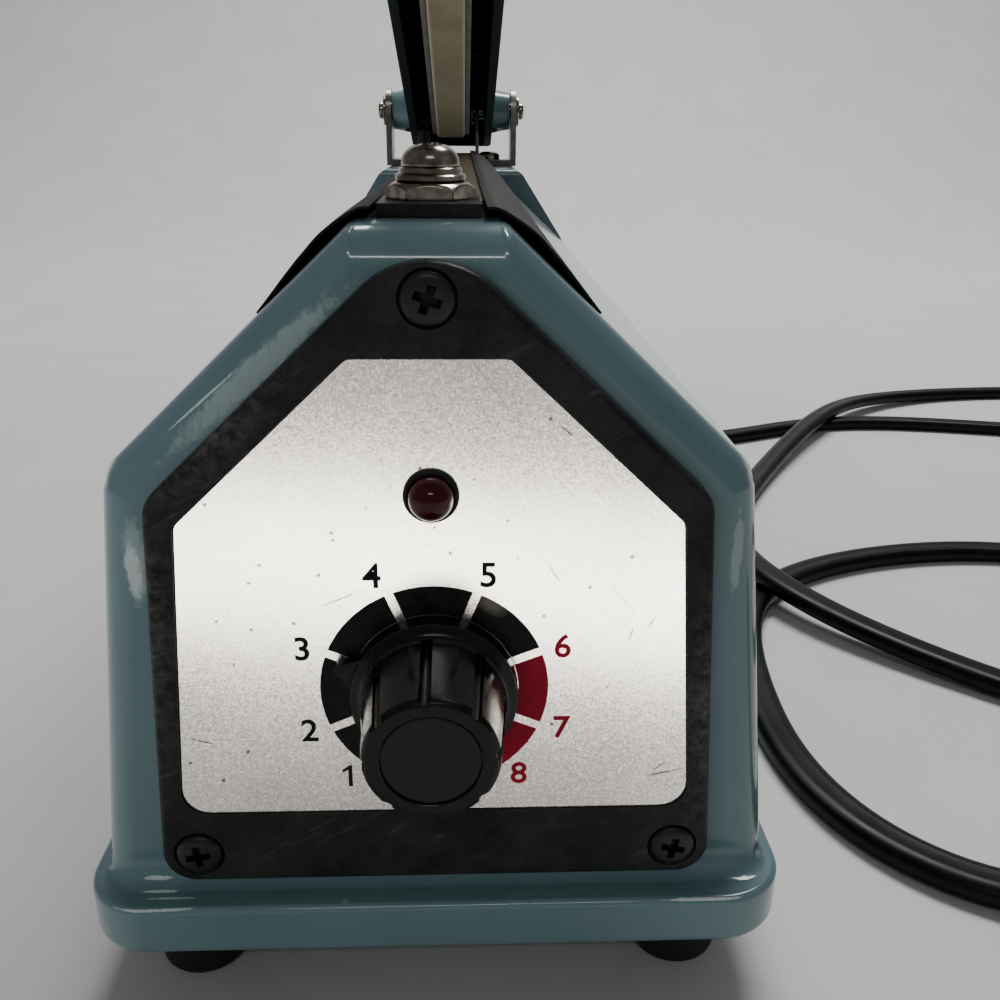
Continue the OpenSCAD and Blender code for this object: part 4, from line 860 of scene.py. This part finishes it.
def add_node(tree, kind, inputs=(), out=0, stops=(), **settings):
    """Adds a shader node and gives back one output. stops holds a colour ramp's (position, hex) pairs."""
    node = tree.nodes.new("ShaderNode" + kind)
    for key, value in settings.items():
        setattr(node, key, value)
    if stops:
        band = node.color_ramp.elements
        while len(band) < len(stops):
            band.new(0.5)
        for element, (position, colour) in zip(band, stops):
            element.position, element.color = position, linear(colour)
    fill(node, inputs)
    return node.outputs[out]


def per_mm(size):
    """Scale of a pattern, on coordinates in metres, whose grain is that many millimetres."""
    return 1 / (size * MM)


def new_finish(name, shine=0.5, **plain):
    """A material, its shader, whose plain inputs go by name, the place on its piece, and its add_node."""
    made = bpy.data.materials.new(name)
    made.use_nodes = True
    shader = made.node_tree.nodes["Principled BSDF"]
    fill(shader, {"Specular IOR Level": shine})
    fill(shader, {key.replace("_", " "): value for key, value in plain.items()})
    add = partial(add_node, made.node_tree)
    return made, shader, add("TexCoord", out="Object"), add


def mottled(name, colours, grain, bump, rough, places=(0.35, 0.65), over=(0.3, 0.7), detail=6, ragged=0.5,
            strength=0.6, **plain):
    """A finish that wanders between colours and two roughnesses over a grain in mm, with a bump in mm. places
    and over say where on the noise the colours lie and the roughness changes."""
    made, shader, place, add = new_finish(name, **plain)
    noise = add("TexNoise", {"Vector": place, "Scale": per_mm(grain), "Detail": detail, "Roughness": ragged})
    fill(shader, {
        "Base Color": add("ValToRGB", [noise], stops=list(zip(places, colours))),
        "Roughness": add("MapRange", [noise, *over, *rough]),
        "Normal": add("Bump", {"Height": noise, "Distance": bump * MM, "Strength": strength}),
    })
    return made


def dress(finish, *pieces):
    """Gives a finish to pieces. A name stands for a CAD node, or for its fair copy where there is one."""
    for piece in pieces:
        mesh = (fair.get(piece) or nodes[piece] if isinstance(piece, str) else piece).data
        mesh.materials.clear()
        mesh.materials.append(finish)
    print(finish.name, "on", len(pieces), "pieces")


# %% Finishes: soft patches of wear
def patch(add, place, centre, half, turn=0):
    """A soft patch, 1 in the middle of an ellipsoid, 0 at its edge. Sizes are in mm, the turn is about Y."""
    inside = add("Mapping", {
        "Vector": place, "Location": Vector(centre) * MM, "Rotation": (0, math.radians(turn), 0),
        "Scale": Vector(half) * MM,
    }, vector_type="TEXTURE")
    return add("TexGradient", [inside], "Fac", gradient_type="SPHERICAL")


def patches(add, place, least, shapes):
    """The strongest of several patches, and nowhere less than a given share."""
    for shape in shapes:
        least = add("Math", [least, patch(add, place, *shape)], operation="MAXIMUM")
    return least


print("helpers for finishes are ready")

# %% [markdown]
# ### Gloss enamel
# The casting is sprayed with a grey teal enamel and baked. It shows a hard gloss with a faint orange peel
# about 3.5 mm across, and pale scuffs where it was handled: beside the bezel on the left, on the left wall
# and on the flange's edge. The thin pale strokes along the flange's front top edge are a painted highlight
# as well as wear. The scuffs could be painted on an image, but patches broken up by noise stay sharp at any
# distance.

# %% Gloss enamel
enamel, shader, place, add = new_finish("gloss_enamel", Coat_Weight=0.8, Coat_Roughness=0.06, shine=0.2)
cloud = add("TexNoise", {"Vector": place, "Scale": per_mm(28), "Detail": 4})
paint = add("ValToRGB", [cloud], stops=[(0.35, "#546d72"), (0.65, "#5b767b")])
ragged = add("TexNoise", {"Vector": place, "Scale": per_mm(1.3), "Detail": 7, "Roughness": 0.7})
rubbed = add("Mapping", {"Vector": place, "Rotation": (0, math.radians(12), 0), "Scale": (1, 4, 3)},
             vector_type="TEXTURE")
hatch = add("TexNoise", {"Vector": rubbed, "Scale": per_mm(0.5), "Detail": 5, "Roughness": 0.6})


def scuff_mask(sharp, strength, shapes):
    """Where patches of (centre, half size, turn), ragged and hatched by fine strokes, show as pale rubbed
    paint; the strokes along the flange's front edge are a painted highlight as well."""
    worn = patches(add, place, 0, shapes)
    torn = add("Math", [ragged, 1.1, worn], operation="MULTIPLY_ADD")
    edge = add("MapRange", [torn, 0.8, 0.8 + sharp])
    stroke = add("MapRange", [hatch, 0.3, 0.62, 0.35])
    both = add("Math", [edge, stroke], operation="MULTIPLY")
    held = add("Math", [both, worn], operation="MULTIPLY", use_clamp=True)
    return add("MapRange", [held, 0, 0.4, 0, strength])


rub = scuff_mask(0.2, 0.72, [
    ((-17.2, -131.0, 77.5), (17.5, 5, 2.0), -42), ((-31.0, -131.5, 57.5), (1.9, 4, 7.5), 0),
    ((32.4, -131, 58), (1.0, 4, 7), 0),
])
# Chips, and two thin strokes at z 16.0 on the flange's front edge that are a painted highlight as well as
# wear
chips_and_highlight = scuff_mask(0.12, 0.8, [
    ((-31.3, -131.5, 56.5), (1.2, 4, 4.5), 0), ((-22.6, -131.3, 74.6), (7, 4, 0.17), -40.5),
    ((-33, -137, 16.0), (8, 2, 0.16), -1), ((-32.6, -133.9, 16.4), (3.2, 0.35, 1.5), 0),
    ((-33.2, -132.4, 16.6), (2.6, 0.3, 1.5), 0), ((-31, -135, 16.3), (4, 0.25, 1.5), 0),
    ((-25, -132.2, 18.4), (9, 2, 0.2), 0), ((-10.7, -136.3, 16.6), (1.6, 2, 0.6), 0),
    ((31, -137, 16.0), (7, 2, 0.2), 0),
])
tone = add("Mix", {SHARE: rub, UNDER: paint, ABOVE: linear("#93a3a3")}, **COLOURS)
peel = add("TexNoise", {"Vector": place, "Scale": per_mm(3.5), "Detail": 1})
# The pale colour is chipped paint, and along the flange's front edge it is also a painted highlight
fill(shader, {
    "Base Color": add("Mix", {SHARE: chips_and_highlight, UNDER: tone, ABOVE: linear("#c3cccb")}, **COLOURS),
    "Roughness": add("MapRange", [rub, 0, 1, 0.3, 0.7]),
    "Normal": add("Bump", {"Height": peel, "Distance": 0.05 * MM, "Strength": 0.35}),
})
dress(enamel, housing, "press_arm")

# %% [markdown]
# ### Frosted aluminium
# The face plate is thin aluminium, sandblasted and lacquered. It mirrors the white card in front of it,
# blurred by a grain of about 0.2 mm, and it has small dark specks and scratches from years of use. A
# Voronoi pattern spreads the specks, a stretched noise draws the fine scratches, and the few deep ones are
# thin patches with ragged edges.

# %% Frosted aluminium
aluminium, shader, place, add = new_finish("frosted_aluminium", Metallic=0.85)
grain = add("TexNoise", {"Vector": place, "Scale": per_mm(0.2), "Detail": 2})
cloud = add("TexNoise", {"Vector": place, "Scale": per_mm(16), "Detail": 5})
sheen = add("Math", [cloud, 0.35, grain], operation="MULTIPLY_ADD")
metal = add("ValToRGB", [sheen], stops=[(0.42, "#b8b4ae"), (0.9, "#f4f1ec")])
speck = add("TexVoronoi", {"Vector": place, "Scale": per_mm(3.2)})
frayed = add("TexNoise", {"Vector": place, "Scale": per_mm(0.6), "Detail": 3})
spot = add("Math", [frayed, -0.14, speck], operation="MULTIPLY_ADD")
spot = add("MapRange", [spot, 0.005, -0.02])
tilted = add("Mapping", {"Vector": place, "Rotation": (0, math.radians(52), 0), "Scale": (20, 1, 1)},
             vector_type="TEXTURE")
line = add("TexNoise", {"Vector": tilted, "Scale": per_mm(0.9), "Detail": 2})
scratch = add("MapRange", [line, 0.72, 0.76, 0, 0.3])
marks = add("Math", [spot, scratch], operation="MAXIMUM")
broken = add("TexNoise", {"Vector": place, "Scale": per_mm(0.7), "Detail": 2})
broken = add("MapRange", [broken, 0.3, 0.55, 0, 4])
nicks = [  # x, z, half length, half width and turn of the deeper scratches, in mm
    (-9.5, 54.1, 3.0, 0.1, -23), (12.6, 56.9, 1.9, 0.09, 59), (21.1, 49.5, 1.0, 0.12, -72),
    (23.3, 51.0, 1.1, 0.12, -62), (25.9, 31.7, 2.5, 0.16, -13), (25.2, 32.5, 1.4, 0.1, -39),
    (-25.8, 36.8, 1.6, 0.12, 17), (13.5, 72.2, 1.0, 0.12, 41), (18.9, 43.1, 0.7, 0.1, -50),
]
for x, z, length, width, turn in nicks:
    nick = patch(add, place, (x, PLATE, z), (length, 1, width), turn)
    nick = add("Math", [nick, broken, -0.15], operation="MULTIPLY_ADD", use_clamp=True)
    marks = add("Math", [marks, nick], operation="MAXIMUM")
fill(shader, {
    "Base Color": add("Mix", {SHARE: marks, UNDER: metal, ABOVE: linear("#6c675f")}, **COLOURS),
    "Roughness": add("MapRange", [grain, 0.3, 0.7, 0.21, 0.28]),
    "Normal": add("Bump", {"Height": grain, "Distance": 0.02 * MM, "Strength": 0.08}),
})
dress(aluminium, "face_plate")

# %% [markdown]
# ### Moulded ABS and phenolic
# The bezel is black ABS with a dull skin. It has picked up fine grey dust where hands pass, along both
# sides and the left roof edge, and a few slanting scuffs. The knob is phenolic, polished where fingers hold
# it, so its streaks of light are sharp.

# %% Scuffed ABS
abs_black, shader, place, add = new_finish("scuffed_abs", shine=0.16)
cloud = add("TexNoise", {"Vector": place, "Scale": per_mm(9), "Detail": 6})
skin = add("ValToRGB", [cloud], stops=[(0.35, "#171718"), (0.7, "#272728")])
tilted = add("Mapping", {"Vector": place, "Rotation": (0, math.radians(-28), 0), "Scale": (8, 1, 1)},
             vector_type="TEXTURE")
line = add("TexNoise", {"Vector": tilted, "Scale": per_mm(0.8), "Detail": 3})
where = add("MapRange", [cloud, 0.44, 0.64])
scratch = add("MapRange", [line, 0.62, 0.74, 0, 0.42])
scuff = add("Math", [where, scratch], operation="MULTIPLY")
fine = add("TexNoise", {"Vector": place, "Scale": per_mm(1.5), "Detail": 8, "Roughness": 0.75})
dust = add("MapRange", [fine, 0.42, 0.64, 0, 0.7])
handled = patches(add, place, 0.12, [
    ((-30.2, PANEL, 52), (4.5, 5, 24)), ((-22, PANEL, 72), (16, 5, 5), -42), ((30, PANEL, 40), (4, 5, 22)),
])
dust = add("Math", [dust, handled], operation="MULTIPLY")
tone = add("Mix", {SHARE: dust, UNDER: skin, ABOVE: linear("#5e5d5b")}, **COLOURS)
grain = add("TexNoise", {"Vector": place, "Scale": per_mm(0.6), "Detail": 3})
fill(shader, {
    "Base Color": add("Mix", {SHARE: scuff, UNDER: tone, ABOVE: linear("#5c5c5b")}, **COLOURS),
    "Roughness": add("MapRange", [cloud, 0.3, 0.7, 0.32, 0.5]),
    "Normal": add("Bump", {"Height": grain, "Distance": 0.03 * MM, "Strength": 0.25}),
})
dress(abs_black, bezel, collar, "micro_switch", "front_insulator", "rear_insulator")

# %% Polished phenolic
dress(mottled("polished_phenolic", ("#050506", "#0a0a0b", "#2c2b29"), 4, 0.03, (0.08, 0.4), shine=0.35,
              places=(0.3, 0.66, 0.74), over=(0.35, 0.72), detail=7, ragged=0.65, strength=0.25), knob)

# %% [markdown]
# ### Aged nickel
# The terminal and the hinge's shaft are nickel plated, and the plating has tarnished: brown stains between
# patches that are still bright. One noise drives colour and gloss together, because a stain is dull as well
# as brown.

# %% Aged nickel
nickel = mottled("aged_nickel", ("#6d6358", "#978e82", "#b9b2a7"), 2.6, 0.02, (0.27, 0.11),
                 places=(0.36, 0.5, 0.62), over=(0.35, 0.65), ragged=0.55, strength=0.25, Metallic=1)
dress(nickel, nut, washer, terminal_screw, "hinge_shaft", "shaft_clips", "rear_terminal_washer",
      "rear_terminal_screw", "stirrup_screws", "holder_screws")

# %% [markdown]
# ### The plain finishes
# The other surfaces differ mainly in colour, grain and gloss, so one recipe with its own values serves them
# all. Each line gives the darkest and lightest colour, the grain and its height in mm, and the range of
# roughness. Anodised metal and old zinc plate look soft and grey, new zinc and nickel are bright, and black
# oxide is half dull. Paper, moulded rubber and the clamp sheets give hardly any shine, silicone, PVC, the
# release cloth and the small mouldings a soft one, and the lens a sharp one. The weave of both cloths is too
# fine to show, so it is drawn as a grain of 1 mm.

# %% Plain finishes: metals
dress(mottled("anodised_aluminium", ("#8b8784", "#9d9a97"), 4, 0.02, (0.4, 0.5), Metallic=0.25),
      "strip_holder")
dress(mottled("zinc_plate", ("#77766f", "#94938c"), 3, 0.02, (0.25, 0.42), Metallic=1),
      "hinge_stirrup", spring)
dress(mottled("bright_zinc_plate", ("#b4b5b3", "#c9cac7"), 3, 0.01, (0.2, 0.32), Metallic=1),
      "bottom_plate", "foot_screws", "pot_nut", "pot_shaft", "transformer_screws", "switch_screws",
      "potentiometer", "transformer_strap", "switch_bracket", "heating_element")
dress(mottled("black_oxide", ("#0c0c0d", "#171718"), 1.2, 0.04, (0.3, 0.48)), bezel_screws, "bracket_screws")
dress(mottled("nickelled_brass", ("#b9b2a0", "#cfc9b9"), 3, 0.01, (0.15, 0.25), Metallic=1), "plug_pins")
dress(mottled("varnished_core", ("#3d3b38", "#4a4744"), 1, 0.03, (0.4, 0.5), Metallic=0.8),
      "transformer_core")
dress(mottled("taped_winding", ("#a7781f", "#b98a2c"), 4, 0.03, (0.35, 0.45)), "transformer_winding")

# %% Plain finishes: plastics, rubber and cloth
dress(mottled("moulded_rubber", ("#0b0b0c", "#131314"), 1.5, 0.05, (0.6, 0.75)), "rubber_feet", "cord_gland")
dress(mottled("pvc_sheath", ("#060607", "#0c0c0d"), 6, 0.03, (0.3, 0.42), shine=0.15), "mains_plug", lead)
dress(mottled("satin_inlay", ("#232324", "#292929"), 0.6, 0.02, (0.42, 0.52), shine=0.2), disc)
dress(mottled("red_lens", ("#300406", "#3c0608"), 5, 0, (0.06, 0.1), shine=0.4), lens_dome)
dress(mottled("coated_glass_cloth", ("#0b0b0b", "#151514"), 1, 0.03, (0.55, 0.7), shine=0.25), *clamp_sheets)
dress(mottled("release_cloth", ("#4e4232", "#65563f"), 1, 0.03, (0.4, 0.5)), cloth, "insulating_strip")
dress(mottled("silicone_rubber", ("#9a9174", "#a89f83"), 9, 0.02, (0.5, 0.6)), "silicone_strip")
# The switch plunger is nylon; its near-black colour is painted shade for the dark gap behind the terminal
# where it stands
dress(mottled("nylon_in_painted_shade", ("#0c0c0d", "#141415"), 2, 0.01, (0.4, 0.5)), "switch_plunger")
dress(mottled("red_abs", ("#8e2017", "#9a281e"), 2, 0.01, (0.35, 0.45)), "switch_button")
dress(mottled("solder_mask", ("#1d4a2a", "#245a33"), 2, 0.02, (0.3, 0.4)), "timer_board")
dress(mottled("blue_abs", ("#1e3c70", "#244680"), 2, 0.01, (0.35, 0.45)), "timer_relay")
dress(mottled("shrink_sleeve", ("#16181c", "#1e2026"), 2, 0.01, (0.25, 0.35)), "timer_capacitor")
dress(mottled("paper", ("#cfcfce", "#d3d3d2"), 40, 0.02, (0.9, 0.95), shine=0.1), sweep)

# %% Plain finishes: the dial's print
dress(mottled("crimson_print", ("#99102c", "#a81634"), 1, 0, (0.35, 0.5), shine=0.15), red_print)
black_ink = mottled("black_print", ("#0d0d0e", "#191919"), 1.4, 0, (0.35, 0.5), shine=0.2)
shader = black_ink.node_tree.nodes["Principled BSDF"]
add = partial(add_node, black_ink.node_tree)
ink = shader.inputs["Base Color"].links[0].from_socket
thin = patch(add, add("TexCoord", out="Object"), (6.1, PLATE, 53.4), (2.6, 2, 1.5), 40)
thin = add("MapRange", [thin, 0.1, 0.8, 0, 0.5])  # rubbed thin at one end of the segment before 6
ink = add("Mix", {SHARE: thin, UNDER: ink, ABOVE: linear("#8d8a7c")}, **COLOURS)
fill(shader, {"Base Color": ink})
dress(black_ink, black_print)

# %% [markdown]
# The arm is painted outside only: the hollow under it is black paint, and its dark teal also stands for the
# deep shade in there; the dark rim of its walls is painted shade. It could be two pieces, but it is one
# casting, so the inner faces get a second material. They are found by their place in the arm's own
# directions.

# %% Dark inside of the arm: black paint and painted shade
HOLLOW_X, HOLLOW_Y, HOLLOW_Z = 10.8, (-236, 12), (-7.6, 7.3)  # reach from the hinge axis, in mm
SHADED_RIM_Z, FACES_DOWN = -6, -0.6
# Dark teal: black paint with painted shade in the hollow, and painted shade alone on the rim
black_and_painted_shade = mottled("black_and_painted_shade", ("#0b1415", "#152224"), 4, 0.03, (0.5, 0.65), shine=0.2)
to_arm = arm_turn.transposed()
arm_mesh = fair["press_arm"].data
arm_mesh.materials.append(black_and_painted_shade)
inner = 0
for polygon in arm_mesh.polygons:
    here = to_arm @ (polygon.center / MM - HINGE)
    shaded_rim = here.z < SHADED_RIM_Z and (to_arm @ polygon.normal).z < FACES_DOWN
    hollow = (abs(here.x) < HOLLOW_X and HOLLOW_Z[0] < here.z < HOLLOW_Z[1]
              and HOLLOW_Y[0] < here.y < HOLLOW_Y[1])
    if shaded_rim or hollow:
        polygon.material_index = 1
        inner += 1
print("arm:", inner, "inner faces are black")
